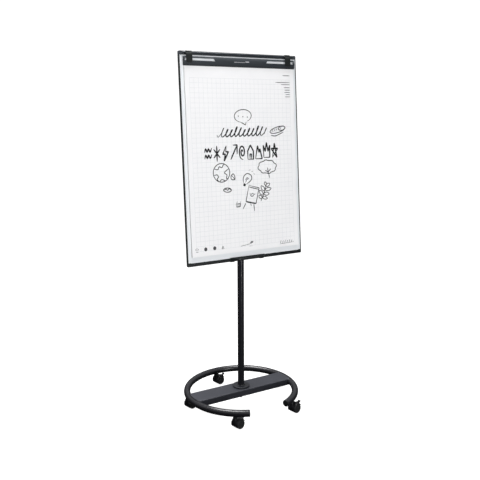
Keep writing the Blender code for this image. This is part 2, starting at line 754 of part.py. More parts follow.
def tray_clip(name, side, mat, tilt, origin):
    """A bent clip that hooks the tray under the bottom rail."""
    strip, reach = TRAY_CLIP_STRIP, 0.012
    under, top = -GAP - strip, TRAY_FLOOR_V - GAP
    outline = [(reach, top), (GAP, top), (GAP, under + strip), (-BOARD_DEPTH, under + strip)]
    outline += [(-BOARD_DEPTH, under), (GAP + strip, under), (GAP + strip, top - strip), (reach, top - strip)]
    low, high = side * TRAY_CLIP_U - TRAY_CLIP_WIDTH / 2, side * TRAY_CLIP_U + TRAY_CLIP_WIDTH / 2
    bm = prism(outline, low, high, board_section)
    return add_object(name, bm, mat, tilt, origin)


# ---------------------------------------------------------------- castors

def wheel_profile():
    """Half of the twin wheel as (radius, y), from the middle of the axle outwards."""
    inner, outer, rim = WHEEL_INNER_Y, WHEEL_OUTER_Y, WHEEL_RADIUS
    return [(AXLE_RADIUS, inner), (rim - 0.001, inner), (rim, inner + 0.001), (rim, outer - 0.002),
            (rim - 0.002, outer), (0.017, outer), (0.016, outer - 0.0015), (0.007, outer - 0.0015),
            (0.006, outer - 0.0003), (0, outer - 0.0003)]


def twin_wheel(name, mat, pivot):
    half = wheel_profile()
    profile = [(r, -y) for r, y in reversed(half)] + half
    return add_object(name, lathe(profile, 20, along_y), mat, pivot)


def hood(name, mat, swivel):
    """The castor's body: a guard over both wheels, a fin between them, a boss and a stem."""
    axle = (TRAIL, WHEEL_RADIUS)
    outline = arc(axle, GUARD_RADIUS, GUARD_START, GUARD_END, 12)
    outline += arc(axle, HUB_CHEEK, GUARD_END, GUARD_START + 360, 8)
    half = WHEEL_OUTER_Y + 0.0006
    obj = add_object(name, prism(outline, -half, half, along_y), mat, swivel)
    bpy.context.view_layer.update()
    profile = [(0, 0.030), (BOSS_RADIUS, 0.030), (BOSS_RADIUS, BOSS_TOP), (STEM_RADIUS, BOSS_TOP)]
    profile += [(STEM_RADIUS, STEM_TOP - 0.001), (STEM_RADIUS - 0.001, STEM_TOP), (0, STEM_TOP)]
    combine(obj, "UNION", lathe(profile, 16, along_z))
    spaces = []
    for side in (-1, 1):
        near, far = side * FIN_HALF, side * 0.030
        space = lathe([(0, near), (GUARD_BORE, near), (GUARD_BORE, far), (0, far)], 24, along_y)
        spaces.append(moved(space, (TRAIL, 0.0, WHEEL_RADIUS)))
    combine(obj, "DIFFERENCE", merge(*spaces))
    bore = AXLE_RADIUS + GAP
    drill = lathe([(0, -0.01), (bore, -0.01), (bore, 0.01), (0, 0.01)], 16, along_y)
    combine(obj, "DIFFERENCE", moved(drill, (TRAIL, 0.0, WHEEL_RADIUS)))
    ears = []
    for side in (-1, 1):
        low, high = sorted((side * (LEVER_HALF + 0.0004), side * (LEVER_HALF + 0.0034)))
        ears.append(prism(ear_outline(), low, high, along_y))
    combine(obj, "UNION", merge(*ears))
    pin = lathe([(0, -0.012), (0.0015, -0.012), (0.0015, 0.012), (0, 0.012)], 10, along_y)
    return combine(obj, "DIFFERENCE", moved(pin, lever_pivot()))


def polar(radius, angle):
    """A point about the castor's axle, as (x, z)."""
    turn = math.radians(angle)
    return (TRAIL + radius * math.cos(turn), WHEEL_RADIUS + radius * math.sin(turn))


def ear_outline():
    reach = ((-9, 0.0276), (-7, 0.0328), (-3, 0.0345), (3, 0.0345), (7, 0.0328), (9, 0.0276))
    return [polar(radius, LEVER_ANGLE + turn) for turn, radius in reach]


def lever_pivot():
    x, z = polar(LEVER_REACH, LEVER_ANGLE)
    return (x, 0.0, z)


def brake_lever(name, mat, pivot):
    """A foot lever: a barrel on moulded trunnions and a paddle that reaches past the guard."""
    barrel = 0.002
    outline = arc((0, 0), barrel, 80, 280, 6)
    outline += [(LEVER_LENGTH - 0.004, -0.0012), (LEVER_LENGTH, 0.0002), (LEVER_LENGTH + 0.0005, 0.0026),
                (LEVER_LENGTH - 0.0015, 0.0040), (LEVER_LENGTH - 0.005, 0.0034)]
    rise, run = math.sin(LEVER_RISE), math.cos(LEVER_RISE)
    outline = [(x * run - z * rise, x * rise + z * run) for x, z in outline]
    lever = add_object(name, prism(outline, -LEVER_HALF, LEVER_HALF, along_y), mat, pivot)
    bpy.context.view_layer.update()
    trunnion = LEVER_HALF + 0.0028
    pin = lathe([(0, -trunnion), (0.0011, -trunnion), (0.0011, trunnion), (0, trunnion)], 10, along_y)
    return combine(lever, "UNION", pin)


def castor_socket(name, angle, mat):
    """A bush between the tube and the castor, hollowed to sit round the bent tube."""
    x, y = castor_point(angle)
    bore = STEM_RADIUS + 2 * GAP
    low = BOSS_TOP + GAP - RING_Z
    profile = tube_profile(SOCKET_RADIUS, bore, low, SOCKET_RISE - TUBE_RADIUS)
    bush = moved(lathe(profile, 16, along_z), (x, y, 0.0))
    socket = add_object(name, bush, mat, location=(0.0, COLUMN_Y, RING_Z))
    bpy.context.view_layer.update()
    return combine(socket, "DIFFERENCE", ring_sweep(TUBE_RADIUS + GAP, None, angle - 5, angle + 5, 4, 24))


def castor(number, angle, mats):
    x, y = castor_point(angle)
    heading = (0.0, 0.0, math.radians(CASTOR_HEADING))
    prefix = f"castor_{number}"
    castor_socket(f"{prefix}_socket", angle, mats["moulded"])
    swivel = empty(f"{prefix}_swivel", (x, y + COLUMN_Y, 0.0), heading)
    hood(f"{prefix}_hood", mats["castor"], swivel)
    axle = empty(f"{prefix}_axle", (TRAIL, 0.0, WHEEL_RADIUS), parent=swivel)
    twin_wheel(f"{prefix}_wheel", mats["wheel"], axle)
    pivot = empty(f"{prefix}_pivot", lever_pivot(), parent=swivel)
    brake_lever(f"{prefix}_brake", mats["castor"], pivot)


# ---------------------------------------------------------------- assembly

def make_materials():
    return {
        "black": material("black_powder_coat", (0.018, 0.018, 0.022), 0.42, 0.0),
        "slate": material("slate_lacquer", (0.060, 0.066, 0.075), 0.38, 0.0),
        "beam": material("beam_lacquer", (0.055, 0.055, 0.066), 0.50, 0.0),
        "moulded": material("moulded_black", (0.022, 0.024, 0.027), 0.50, 0.0),
        "castor": material("castor_nylon", (0.014, 0.015, 0.017), 0.38, 0.0),
        "wheel": material("wheel_nylon", (0.020, 0.021, 0.023), 0.45, 0.0),
        "zinc": material("zinc_plate", (0.45, 0.45, 0.46), 0.30, 1.0),
        "steel": material("inner_tube_steel", (0.40, 0.40, 0.42), 0.28, 1.0),
        "enamel": material("white_enamel", (0.78, 0.81, 0.84), 0.18, 0.0),
        "core": material("board_back", (0.32, 0.33, 0.34), 0.60, 0.0),
        "card": material("backing_card", (0.46, 0.42, 0.36), 0.90, 0.0),
        "paper": material("paper", (0.90, 0.90, 0.91), 0.85, 0.0),
    }


def build_base(mats):
    base_ring(mats["black"])
    ring_plug("ring_plug_right", True, mats["moulded"])
    ring_plug("ring_plug_left", False, mats["moulded"])
    cross_beam(mats["beam"])
    column_flange(mats["black"])
    column_bolt(mats["zinc"])
    column_tube(mats["black"])
    column_collar(mats["moulded"])
    height_knob(mats["moulded"])
    for number, angle in enumerate(CASTOR_ANGLES, start=1):
        castor(number, angle, mats)


def build_head(mats):
    lift = empty("lift", (0.0, COLUMN_Y, TILT_Z))
    inner_tube(mats["steel"], lift)
    inner_foot(mats["moulded"], lift)
    tilt_head(mats["black"], lift)
    tilt_eye(mats["black"], lift)


def build_board(mats):
    tilt = empty("tilt_axis", (0.0, COLUMN_Y, TILT_Z), (-TILT, 0.0, 0.0))
    origin = (0.0, -AXIS_TO_FACE, -AXIS_TO_FOOT)
    tilt_bracket(mats["black"], tilt)
    tilt_bolt(mats["zinc"], tilt)
    tilt_knob(mats["moulded"], tilt)
    panel("board_core", -BOARD_DEPTH + SKIN + GAP, FACE_W - FACE_THICKNESS - GAP, mats["core"], tilt, origin)
    panel("writing_surface", FACE_W - FACE_THICKNESS, FACE_W, mats["enamel"], tilt, origin)
    side_profile("left_profile", -1, mats["black"], tilt, origin)
    side_profile("right_profile", 1, mats["slate"], tilt, origin)
    top_rail(mats["slate"], tilt, origin)
    hook_rail(mats["slate"], tilt, origin)
    bottom_rail(mats["black"], tilt, origin)
    for side, word in ((-1, "left"), (1, "right")):
        corner_cap(f"top_{word}_corner", side, True, mats["slate"], tilt, origin)
        corner_cap(f"bottom_{word}_corner", side, False, mats["black"], tilt, origin)
        tray_clip(f"tray_clip_{word}", side, mats["moulded"], tilt, origin)
    backing_top = FACE_W + GAP + BACKING_THICKNESS
    sheet_block("backing_card", FACE_W + GAP, backing_top, mats["card"], tilt, origin)
    sheet_block("paper_pad", backing_top + GAP, PAD_FRONT_W, mats["paper"], tilt, origin)
    pen_tray(mats["moulded"], tilt, origin)
    hinge = empty("clamp_axis", (0.0, origin[1] - BEAD_W, origin[2] + BEAD_V), parent=tilt)
    clamp_bar(mats["slate"], hinge)
    for side, word, place in ((-1, "left", ARM_LEFT_U), (1, "right", ARM_RIGHT_U)):
        clamp_end(f"clamp_end_{word}", side, mats["moulded"], hinge)
        clamp_arm(f"clamp_arm_{word}", place, mats["moulded"], hinge)


def main():
    clear_scene()
    mats = make_materials()
    build_base(mats)
    build_head(mats)
    build_board(mats)


main()
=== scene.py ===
"""Looks for the mobile flipchart easel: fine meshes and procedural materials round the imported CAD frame.

Metres, in the CAD's frame: X across the board, -Y to the reader's side, +Z up, the floor at z = 0.
"""
import json
import math
import random

import bmesh
import bpy
from mathutils import Matrix, Vector


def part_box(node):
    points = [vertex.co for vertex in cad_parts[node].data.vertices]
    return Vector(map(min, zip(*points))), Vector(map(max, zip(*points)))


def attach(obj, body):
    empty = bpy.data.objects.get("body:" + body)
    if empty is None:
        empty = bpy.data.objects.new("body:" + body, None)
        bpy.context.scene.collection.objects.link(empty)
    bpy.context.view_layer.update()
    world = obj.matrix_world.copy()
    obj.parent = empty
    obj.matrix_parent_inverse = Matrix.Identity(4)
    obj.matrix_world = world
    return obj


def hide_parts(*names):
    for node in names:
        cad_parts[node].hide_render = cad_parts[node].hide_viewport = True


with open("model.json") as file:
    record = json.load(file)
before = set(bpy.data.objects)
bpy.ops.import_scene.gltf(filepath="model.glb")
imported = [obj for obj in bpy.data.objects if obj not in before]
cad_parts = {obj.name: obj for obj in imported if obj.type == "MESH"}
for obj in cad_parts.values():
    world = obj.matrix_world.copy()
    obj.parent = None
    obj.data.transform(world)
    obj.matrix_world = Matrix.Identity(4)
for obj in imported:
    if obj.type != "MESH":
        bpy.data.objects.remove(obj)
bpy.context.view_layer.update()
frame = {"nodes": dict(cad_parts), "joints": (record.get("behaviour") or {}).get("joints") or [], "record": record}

GAP = 0.0003                 # the clearance that the CAD keeps between touching pieces

# ---- Places taken from the frame

JOINTS = {joint["name"]: joint for joint in frame["joints"]}
MOUNTS = {mount["name"]: mount for mount in frame["record"]["mounts"]}


def centre(node):
    low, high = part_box(node)
    return (low + high) / 2


def size(node):
    low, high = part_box(node)
    return high - low


def height_span(node):
    """A CAD node's lowest and highest z at rest."""
    return tuple(corner.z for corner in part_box(node))


# Base and column
COLUMN_Y = centre("column_tube").y
COLUMN_RADIUS = size("column_tube").x / 2
COLUMN_LOW, COLUMN_TOP = height_span("column_tube")
RING_Z = centre("base_ring").z
TUBE_RADIUS = size("base_ring").z / 2
TUBE_WALL = 0.002
BEAM_WALL = 0.0025
WELD_RIPPLE = 0.0003
RING_RADIUS = size("base_ring").x / 2 - TUBE_RADIUS
RING_OPENING = 44.0          # degrees left open at the front
BEAM_DEPTH = size("cross_beam").y
BEAM_HEIGHT = size("cross_beam").z
FLANGE_RADIUS = size("column_flange").x / 2
INNER_RADIUS = size("inner_tube").x / 2
KNOB_Z = JOINTS["height_knob_turn"]["pos_m"][2]
HEAD_RADIUS = size("tilt_head").x / 2
EYE_RADIUS = 0.014
EYE_HALF = 0.009
BRACKET_SHEET = 0.003
KNOB_LOBES = 6
KNOB_RADIUS = 0.021
KNOB_THICKNESS = 0.016

# Board frame: u across, v up from the lower edge, w out of the face, held as (u, -w, v)
TILT_AXIS = Vector(JOINTS["board_tilt"]["pos_m"])
BOARD_UP = Vector(MOUNTS["top_edge"]["axis"])
FACE_NORMAL = Vector((1.0, 0.0, 0.0)).cross(BOARD_UP)
AXIS_TO_FACE = 0.046
AXIS_TO_FOOT = 0.379
BOARD_HEIGHT = 1.082
BOARD_DEPTH = 0.012
CLAMP_WIDTH = size("clamp_bar").x
CLAMP_LOW = 1.0085
CLAMP_HIGH = 1.056
CLAMP_BACK_W = 0.0078
CLAMP_BULGE = 0.0057
CLAMP_WALL = 0.0022
SLOT_V = 1.040
SLOT_HEIGHT = 0.012
SLOT_LENGTH = 0.170
SLOT_INSET = 0.008
SLOT_SLANT = 0.008
BEAD_V = BOARD_HEIGHT - 0.007
BEAD_W = 0.005
ARM_WIDTH = 0.034
PAD_WIDTH = size("paper_pad").x
PAD_LOW = 0.048
PAD_HEIGHT = 0.980
PAD_FRONT_W = 0.0075
PAGE_THICKNESS = 0.0003
TRAY_FLOOR_V = 0.008
TRAY_TOP_V = 0.021
TRAY_DEPTH = 0.045

# Castor frame: x along the trail, y along the axle, the stem at x = 0
CASTORS = range(1, 6)
WHEEL_RADIUS = centre("castor_1_wheel").z
TRAIL = 0.022
WHEEL_INNER_Y = 0.005
WHEEL_OUTER_Y = 0.0238
GUARD_RADIUS = 0.0292
GUARD_BORE = 0.0266
GUARD_START = 28.0           # degrees about the axle
GUARD_END = 205.0
BOSS_TOP = 0.0575
STEM_TOP = 0.0865
SOCKET_RADIUS = 0.0115
SOCKET_RISE = 0.0077         # from the tube's underside up round its curve
LEVER_ANGLE = 38.0
LEVER_RISE = 26.0
LEVER_REACH = 0.0315
LEVER_LENGTH = 0.017
LEVER_HALF = 0.0072


def board_matrix(origin_v=0.0, origin_w=0.0, origin_u=0.0):
    """The board's frame in the row frame, with its origin at that u, v and w."""
    basis = Matrix((Vector((1, 0, 0)), -FACE_NORMAL, BOARD_UP)).transposed()
    local = Vector((origin_u, -AXIS_TO_FACE - origin_w, origin_v - AXIS_TO_FOOT))
    return Matrix.Translation(TILT_AXIS + basis @ local) @ basis.to_4x4()


def axis_matrix(height=0.0):
    """Upright, with its origin on the column's axis."""
    return Matrix.Translation((0.0, COLUMN_Y, height))


def castor_matrix(number):
    swivel = Vector(JOINTS[f"castor_{number}_swivel"]["pos_m"])
    axle = Vector(JOINTS[f"wheel_{number}_spin"]["axis"])
    basis = Matrix((axle.cross(Vector((0, 0, 1))), axle, Vector((0, 0, 1)))).transposed()
    return Matrix.Translation((swivel.x, swivel.y, 0.0)) @ basis.to_4x4()


# ---- Materials

def add_node(nodes, kind, **settings):
    node = nodes.new(kind)
    for key, value in settings.items():
        if key in node.inputs:
            node.inputs[key].default_value = value
        else:
            setattr(node, key, value)
    return node


class Paint:
    """A Principled material and the few node chains that every finish here is made of."""

    def __init__(self, name, stretch=(1.0, 1.0, 1.0), **shader_values):
        self.mat = bpy.data.materials.new(name)
        self.mat.use_nodes = True
        self.nodes = self.mat.node_tree.nodes
        self.links = self.mat.node_tree.links
        self.shader = self.nodes["Principled BSDF"]
        for key, value in shader_values.items():
            self.shader.inputs[key.replace("_", " ")].default_value = value
        self.place = self.coordinates(stretch)

    def coordinates(self, stretch=(1.0, 1.0, 1.0)):
        """The piece's own coordinates in metres, stretched where the grain runs one way."""
        source = add_node(self.nodes, "ShaderNodeTexCoord")
        mapping = add_node(self.nodes, "ShaderNodeMapping", Scale=stretch)
        self.links.new(source.outputs["Object"], mapping.inputs["Vector"])
        return mapping.outputs["Vector"]

    def noise(self, scale, detail=4.0, roughness=0.6, place=None):
        node = add_node(self.nodes, "ShaderNodeTexNoise", Scale=scale, Detail=detail, Roughness=roughness)
        self.links.new(place or self.place, node.inputs["Vector"])
        return node.outputs["Fac"]

    def cells(self, scale, feature="F1"):
        node = add_node(self.nodes, "ShaderNodeTexVoronoi", Scale=scale, feature=feature)
        self.links.new(self.place, node.inputs["Vector"])
        return node

    def feed(self, node, *values):
        """Sets or links a node's inputs in order and returns its first output."""
        for socket, value in zip(node.inputs, values):
            if isinstance(value, bpy.types.NodeSocket):
                self.links.new(value, socket)
            else:
                socket.default_value = value
        return node.outputs[0]

    def maths(self, operation, first, second):
        return self.feed(add_node(self.nodes, "ShaderNodeMath", operation=operation), first, second)

    def ramp(self, source, *stops):
        node = add_node(self.nodes, "ShaderNodeValToRGB")
        self.links.new(source, node.inputs["Fac"])
        elements = node.color_ramp.elements
        while len(elements) < len(stops):
            elements.new(0.5)
        for element, (position, colour) in zip(elements, stops):
            element.position = position
            element.color = (*colour, 1.0)
        return node.outputs["Color"]

    def mix(self, mask, first, second, blend_type="MIX"):
        return self.feed(add_node(self.nodes, "ShaderNodeMixRGB", blend_type=blend_type), mask, first, second)

    def colour(self, source):
        self.links.new(source, self.shader.inputs["Base Color"])

    def roughness(self, source, low, high):
        node = add_node(self.nodes, "ShaderNodeMapRange")
        node.inputs["To Min"].default_value = low
        node.inputs["To Max"].default_value = high
        self.links.new(source, node.inputs["Value"])
        self.links.new(node.outputs["Result"], self.shader.inputs["Roughness"])

    def bump(self, height, distance, strength=1.0):
        """Adds a relief on top of any that is there already."""
        node = add_node(self.nodes, "ShaderNodeBump", Distance=distance, Strength=strength)
        self.links.new(height, node.inputs["Height"])
        normal = self.shader.inputs["Normal"]
        if normal.links:
            self.links.new(normal.links[0].from_socket, node.inputs["Normal"])
        self.links.new(node.outputs["Normal"], normal)


def coated(name, dark, light, roughness, grain, relief=0.00004, stretch=(1, 1, 1), **shader_values):
    """Paint, lacquer or moulded plastic: mottled colour, uneven gloss and a fine relief."""
    paint = Paint(name, stretch, **shader_values)
    fine = paint.noise(grain)
    mottle = paint.maths("MULTIPLY", paint.maths("ADD", fine, paint.noise(9.0, 3.0)), 0.5)
    paint.colour(paint.ramp(mottle, (0.30, dark), (0.70, light)))
    paint.roughness(mottle, *roughness)
    paint.bump(fine, relief)
    return paint


def moulded(name, dark, light, roughness, cells, relief=0.00005):
    """Moulded plastic with a fine cell texture."""
    paint = coated(name, dark, light, roughness, grain=700.0, relief=0.00002)
    paint.bump(paint.cells(cells, "DISTANCE_TO_EDGE").outputs["Distance"], relief, 0.6)
    return paint


def anodised(name, dark, light, stretch):
    """Aluminium profile with drawing lines along its length."""
    return coated(name, dark, light, (0.30, 0.42), 500.0, 0.00002, stretch, Metallic=0.25)


def spangled_steel():
    """Zinc-coated sheet: faint crystals of slightly different brightness."""
    paint = Paint("zinc_coated_sheet", Metallic=0.75)
    cell = paint.cells(70.0)
    tone = add_node(paint.nodes, "ShaderNodeSeparateColor")
    paint.links.new(cell.outputs["Color"], tone.inputs["Color"])
    paint.colour(paint.ramp(tone.outputs[0], (0.0, (0.36, 0.37, 0.38)), (1.0, (0.50, 0.51, 0.53))))
    paint.roughness(tone.outputs[1], 0.38, 0.52)
    paint.bump(tone.outputs[0], 0.00002)
    return paint


def brushed(name, colour, roughness, stretch):
    """Drawn or plated metal with fine lines along one axis."""
    paint = Paint(name, stretch, Metallic=1.0)
    lines = paint.noise(400.0, 5.0)
    dim = tuple(part * 0.82 for part in colour)
    paint.colour(paint.ramp(lines, (0.35, dim), (0.65, colour)))
    paint.roughness(lines, *roughness)
    paint.bump(lines, 0.00003)
    return paint


PAPER_LIGHT = (0.885, 0.885, 0.895)
PAPER_DIM = (0.855, 0.855, 0.870)
GRID_PITCH = 0.025
GRID_LINE = 0.0011
GRID_SIDE = 0.300
GRID_LOW = PAD_LOW + 0.027
GRID_HIGH = PAD_LOW + 0.902


def paper(name):
    """Faint mottling and a soft fibrous relief. Returns the material and its colour."""
    paint = Paint(name, Specular_IOR_Level=0.25)
    fibre = paint.noise(900.0, 6.0, 0.7)
    paint.roughness(fibre, 0.62, 0.80)
    paint.bump(fibre, 0.00003)
    return paint, paint.ramp(paint.noise(12.0, 3.0), (0.25, PAPER_DIM), (0.75, PAPER_LIGHT))


def grid_axis(paint, value, low, high):
    """Two masks along one axis: on a grid line, and between low and high."""
    steps = paint.maths("PINGPONG", paint.maths("SUBTRACT", value, low), GRID_PITCH / 2)
    line = paint.maths("LESS_THAN", steps, GRID_LINE / 2)
    reach = paint.maths("ABSOLUTE", paint.maths("SUBTRACT", value, (low + high) / 2), 0.0)
    inside = paint.maths("LESS_THAN", reach, (high - low) / 2 + GRID_LINE / 2)
    return line, inside


def squared_paper():
    """White paper printed with a pale grey square grid."""
    paint, white = paper("squared_paper")
    axes = add_node(paint.nodes, "ShaderNodeSeparateXYZ")
    paint.links.new(paint.place, axes.inputs[0])
    across, inside_u = grid_axis(paint, axes.outputs["X"], -GRID_SIDE, GRID_SIDE)
    up, inside_v = grid_axis(paint, axes.outputs["Z"], GRID_LOW, GRID_HIGH)
    area = paint.maths("MULTIPLY", inside_u, inside_v)
    mask = paint.maths("MULTIPLY", paint.maths("MAXIMUM", across, up), area)
    paint.colour(paint.mix(mask, white, (0.66, 0.68, 0.70, 1.0)))
    return paint


def stacked_paper():
    """The cut edges of a stack of sheets: fine lines that run round the pad."""
    paint, white = paper("stacked_paper")
    leaves = paint.noise(4200.0, 2.0, place=paint.coordinates((0.02, 1.0, 0.02)))
    shade = paint.ramp(leaves, (0.35, (0.78, 0.78, 0.78)), (0.60, (1.0, 1.0, 1.0)))
    paint.colour(paint.mix(0.6, white, shade, "MULTIPLY"))
    return paint


def greyboard():
    """Backing card: grey-brown pulp with lighter and darker flecks."""
    paint = Paint("greyboard", Roughness=0.9)
    fleck = paint.noise(1500.0, 6.0, 0.8)
    tones = (0.30, (0.30, 0.27, 0.23)), (0.55, (0.46, 0.43, 0.38)), (0.75, (0.60, 0.57, 0.52))
    paint.colour(paint.ramp(fleck, *tones))
    paint.bump(fleck, 0.00008)
    return paint


def ink(name, tone, spread):
    """Felt pen or print on paper, a little uneven in density."""
    paint = Paint(name, Specular_IOR_Level=0.2)
    pool = paint.noise(160.0)
    light = tone + spread
    paint.colour(paint.ramp(pool, (0.35, (tone, tone, tone * 1.05)), (0.70, (light, light, light * 1.05))))
    paint.roughness(pool, 0.55, 0.75)
    return paint


SLATE = (0.034, 0.040, 0.047), (0.046, 0.053, 0.061)
# Near-black anodising for the bottom rail and the left profile; on the left profile it is painted shade.
BLACK_ANODISING = (0.012, 0.014, 0.015), (0.018, 0.020, 0.022)


def make_finishes():
    along_u, along_v = (0.02, 1.0, 1.0), (1.0, 1.0, 0.02)
    paints = {
        "black": coated("black_powder_coat", (0.011, 0.011, 0.014), (0.016, 0.016, 0.020), (0.22, 0.30), 900),
        "beam": coated("beam_powder_coat", (0.024, 0.026, 0.034), (0.037, 0.039, 0.051), (0.40, 0.52), 900),
        "flange": coated("plate_powder_coat", (0.009, 0.010, 0.014), (0.014, 0.015, 0.021),
                         (0.32, 0.44), 900),
        "slate": anodised("slate_anodised", *SLATE, along_u),
        # The two side profiles are one part in two tones: the right one takes the lighter slate as a painted
        # reflection of the light on that side, the left one near-black anodising as painted shade.
        "lit_side": anodised("lit_side_anodised", *SLATE, along_v),
        "shaded_side": anodised("shaded_side_anodised", *BLACK_ANODISING, along_v),
        "black_rail": anodised("black_rail_anodised", *BLACK_ANODISING, along_u),
        "moulded": moulded("moulded_black", (0.007, 0.009, 0.009), (0.012, 0.015, 0.015), (0.30, 0.42), 900),
        "slate_moulded": moulded("moulded_slate", SLATE[0], (0.044, 0.051, 0.059), (0.40, 0.50), 900),
        "castor": moulded("castor_nylon", (0.007, 0.007, 0.009), (0.011, 0.011, 0.014), (0.32, 0.44), 1100),
        "wheel": coated("wheel_nylon", (0.014, 0.015, 0.017), (0.026, 0.026, 0.027), (0.40, 0.60), 350),
        "zinc": brushed("zinc_plate", (0.56, 0.56, 0.55), (0.28, 0.42), (1.0, 1.0, 1.0)),
        "steel": brushed("drawn_steel", (0.50, 0.50, 0.51), (0.22, 0.34), (1.0, 1.0, 0.01)),
        "enamel": coated("white_enamel", (0.825, 0.855, 0.880), (0.840, 0.870, 0.895), (0.14, 0.20), 60,
                         0.00001, Coat_Weight=0.4),
        "back": spangled_steel(),
        "edges": stacked_paper(),
        "page": squared_paper(),
        "card": greyboard(),
        "bold_ink": ink("bold_marker", 0.012, 0.020),
        "fine_ink": ink("fine_marker", 0.018, 0.030),
        "print": ink("printed_grey", 0.060, 0.040),
        "pale_print": ink("printed_white", 0.600, 0.100),
    }
    return {name: paint.mat for name, paint in paints.items()}


FINISHES = make_finishes()


# ---- Mesh tools

def arc(middle, radius, start, end, steps):
    """Points on an arc, angles in degrees."""
    angles = [math.radians(start + (end - start) * i / steps) for i in range(steps + 1)]
    return [(middle[0] + radius * math.cos(a), middle[1] + radius * math.sin(a)) for a in angles]


def near(x, y, *offsets):
    """Points at offsets in millimetres from a place in metres."""
    return [(x + a / 1000, y + b / 1000) for a, b in offsets]


def turns(count):
    """Equal steps round a whole turn, in radians."""
    return [2 * math.pi * i / count for i in range(count)]


def circle(radius, steps):
    return [(radius * math.cos(a), radius * math.sin(a)) for a in turns(steps)]


CORNERS = ((1, 1, 0), (-1, 1, 90), (-1, -1, 180), (1, -1, 270))      # sides and starting angle


def rounded_rectangle(width, height, radius, steps=8, middle=(0.0, 0.0)):
    points = []
    for sx, sy, start in CORNERS:
        corner = (middle[0] + sx * (width / 2 - radius), middle[1] + sy * (height / 2 - radius))
        points += arc(corner, radius, start, start + 90, steps)
    return points


def round_corners(points, radius, steps=4, closed=True):
    """Replaces each corner of a polygon or open line by a short curve."""
    count = len(points)
    result = []
    for i in range(count):
        here = Vector(points[i])
        if not closed and i in (0, count - 1):
            result.append(tuple(here))
            continue
        back, onward = Vector(points[i - 1]) - here, Vector(points[(i + 1) % count]) - here
        reach = min(radius, back.length * 0.45, onward.length * 0.45)
        start, end = here + back.normalized() * reach, here + onward.normalized() * reach
        for k in range(steps + 1):
            t = k / steps
            result.append(tuple(start * (1 - t) ** 2 + here * 2 * t * (1 - t) + end * t ** 2))
    return result


def along_x(a, b, depth):
    return (depth, a, b)


def along_y(a, b, depth):
    return (a, depth, b)


def along_z(a, b, depth):
    return (a, b, depth)


def front_view(a, b, depth):
    """An outline (u, v) on the board's front at a given w."""
    return (a, -depth, b)


def side_view(a, b, depth):
    """A section (w, v) of the board at a given u."""
    return (depth, -a, b)


def plan_view(a, b, depth):
    """An outline (u, w) seen from above at a given v."""
    return (a, -b, depth)


def bridge(bm, lower, upper, closed=True):
    """Faces between two rows of vertices; a row of one vertex is a point that the other closes on."""
    count = max(len(lower), len(upper))
    for i in range(count if closed else count - 1):
        j = (i + 1) % count
        corners = (lower[i % len(lower)], lower[j % len(lower)])
        corners += (upper[j % len(upper)], upper[i % len(upper)])
        bm.faces.new(list(dict.fromkeys(corners)))


def skin(bm, loops, closed=True):
    """Adds the faces between one loop of points and the next, and returns the rows of vertices."""
    rows = [[bm.verts.new(point) for point in loop] for loop in loops]
    for lower, upper in zip(rows, rows[1:]):
        if len(lower) > 1 or len(upper) > 1:
            bridge(bm, lower, upper, closed)
    return rows


def loft(loops, bm=None, caps=True):
    """A skin over closed loops of points, in order, with its ends filled unless caps is off."""
    bm = bm or bmesh.new()
    rows = skin(bm, loops)
    if caps:
        bm.faces.new(rows[0])
        bm.faces.new(rows[-1])
    else:
        bridge(bm, rows[-1], rows[0])
    return bm


def prism(outline, low, high, place, bm=None):
    return loft([[place(a, b, depth) for a, b in outline] for depth in (low, high)], bm)


def lathe(profile, steps, place=along_z, bm=None):
    """Turns a (radius, height) profile about an axis. With both ends off the axis it is a closed ring."""
    bm = bm or bmesh.new()
    loops = []
    for radius, height in profile:
        angles = turns(steps) if radius > 1e-7 else [0.0]
        loops.append([place(radius * math.cos(a), radius * math.sin(a), height) for a in angles])
    rings = skin(bm, loops)
    if len(rings[0]) > 1 and len(rings[-1]) > 1:
        bridge(bm, rings[-1], rings[0])
    return bm


def weld_bead(path, radii, out, sides=10):
    """A thin round bead along a closed path, of a given radius at each point."""
    bm = bmesh.new()
    loops = []
    for i, (point, radius) in enumerate(zip(path, radii)):
        tangent = (Vector(path[(i + 1) % len(path)]) - Vector(path[i - 1])).normalized()
        across = (out - tangent * out.dot(tangent)).normalized() * radius
        side = tangent.cross(across)
        loops.append([Vector(point) + across * math.cos(a) + side * math.sin(a) for a in turns(sides)])
    rows = skin(bm, loops)
    bridge(bm, rows[-1], rows[0])
    return bm


def moved(bm, offset):
    bmesh.ops.translate(bm, verts=bm.verts, vec=Vector(offset))
    return bm


def in_scene(obj):
    bpy.context.scene.collection.objects.link(obj)
    return obj


def mesh_from(bm, name="mesh"):
    bmesh.ops.recalc_face_normals(bm, faces=bm.faces)
    mesh = bpy.data.meshes.new(name)
    bm.to_mesh(mesh)
    bm.free()
    return mesh


def combine(base, operation, other):
    """Joins or cuts one closed bmesh with another and returns the result as a bmesh."""
    objects = [in_scene(bpy.data.objects.new("solid", mesh_from(bm))) for bm in (base, other)]
    modifier = objects[0].modifiers.new("combine", "BOOLEAN")
    modifier.operation = operation
    modifier.object = objects[1]
    bpy.context.view_layer.update()
    result = bmesh.new()
    result.from_object(objects[0], bpy.context.evaluated_depsgraph_get())
    for obj in objects:
        mesh = obj.data
        bpy.data.objects.remove(obj, do_unlink=True)
        bpy.data.meshes.remove(mesh)
    return result


def join(base, other):
    return combine(base, "UNION", other)


def cut(base, other):
    return combine(base, "DIFFERENCE", other)


def soften(obj, width, segments=3, angle=40.0):
    modifier = obj.modifiers.new("edges", "BEVEL")
    modifier.width = width
    modifier.segments = segments
    modifier.limit_method = "ANGLE"
    modifier.angle_limit = math.radians(angle)
    modifier.harden_normals = True


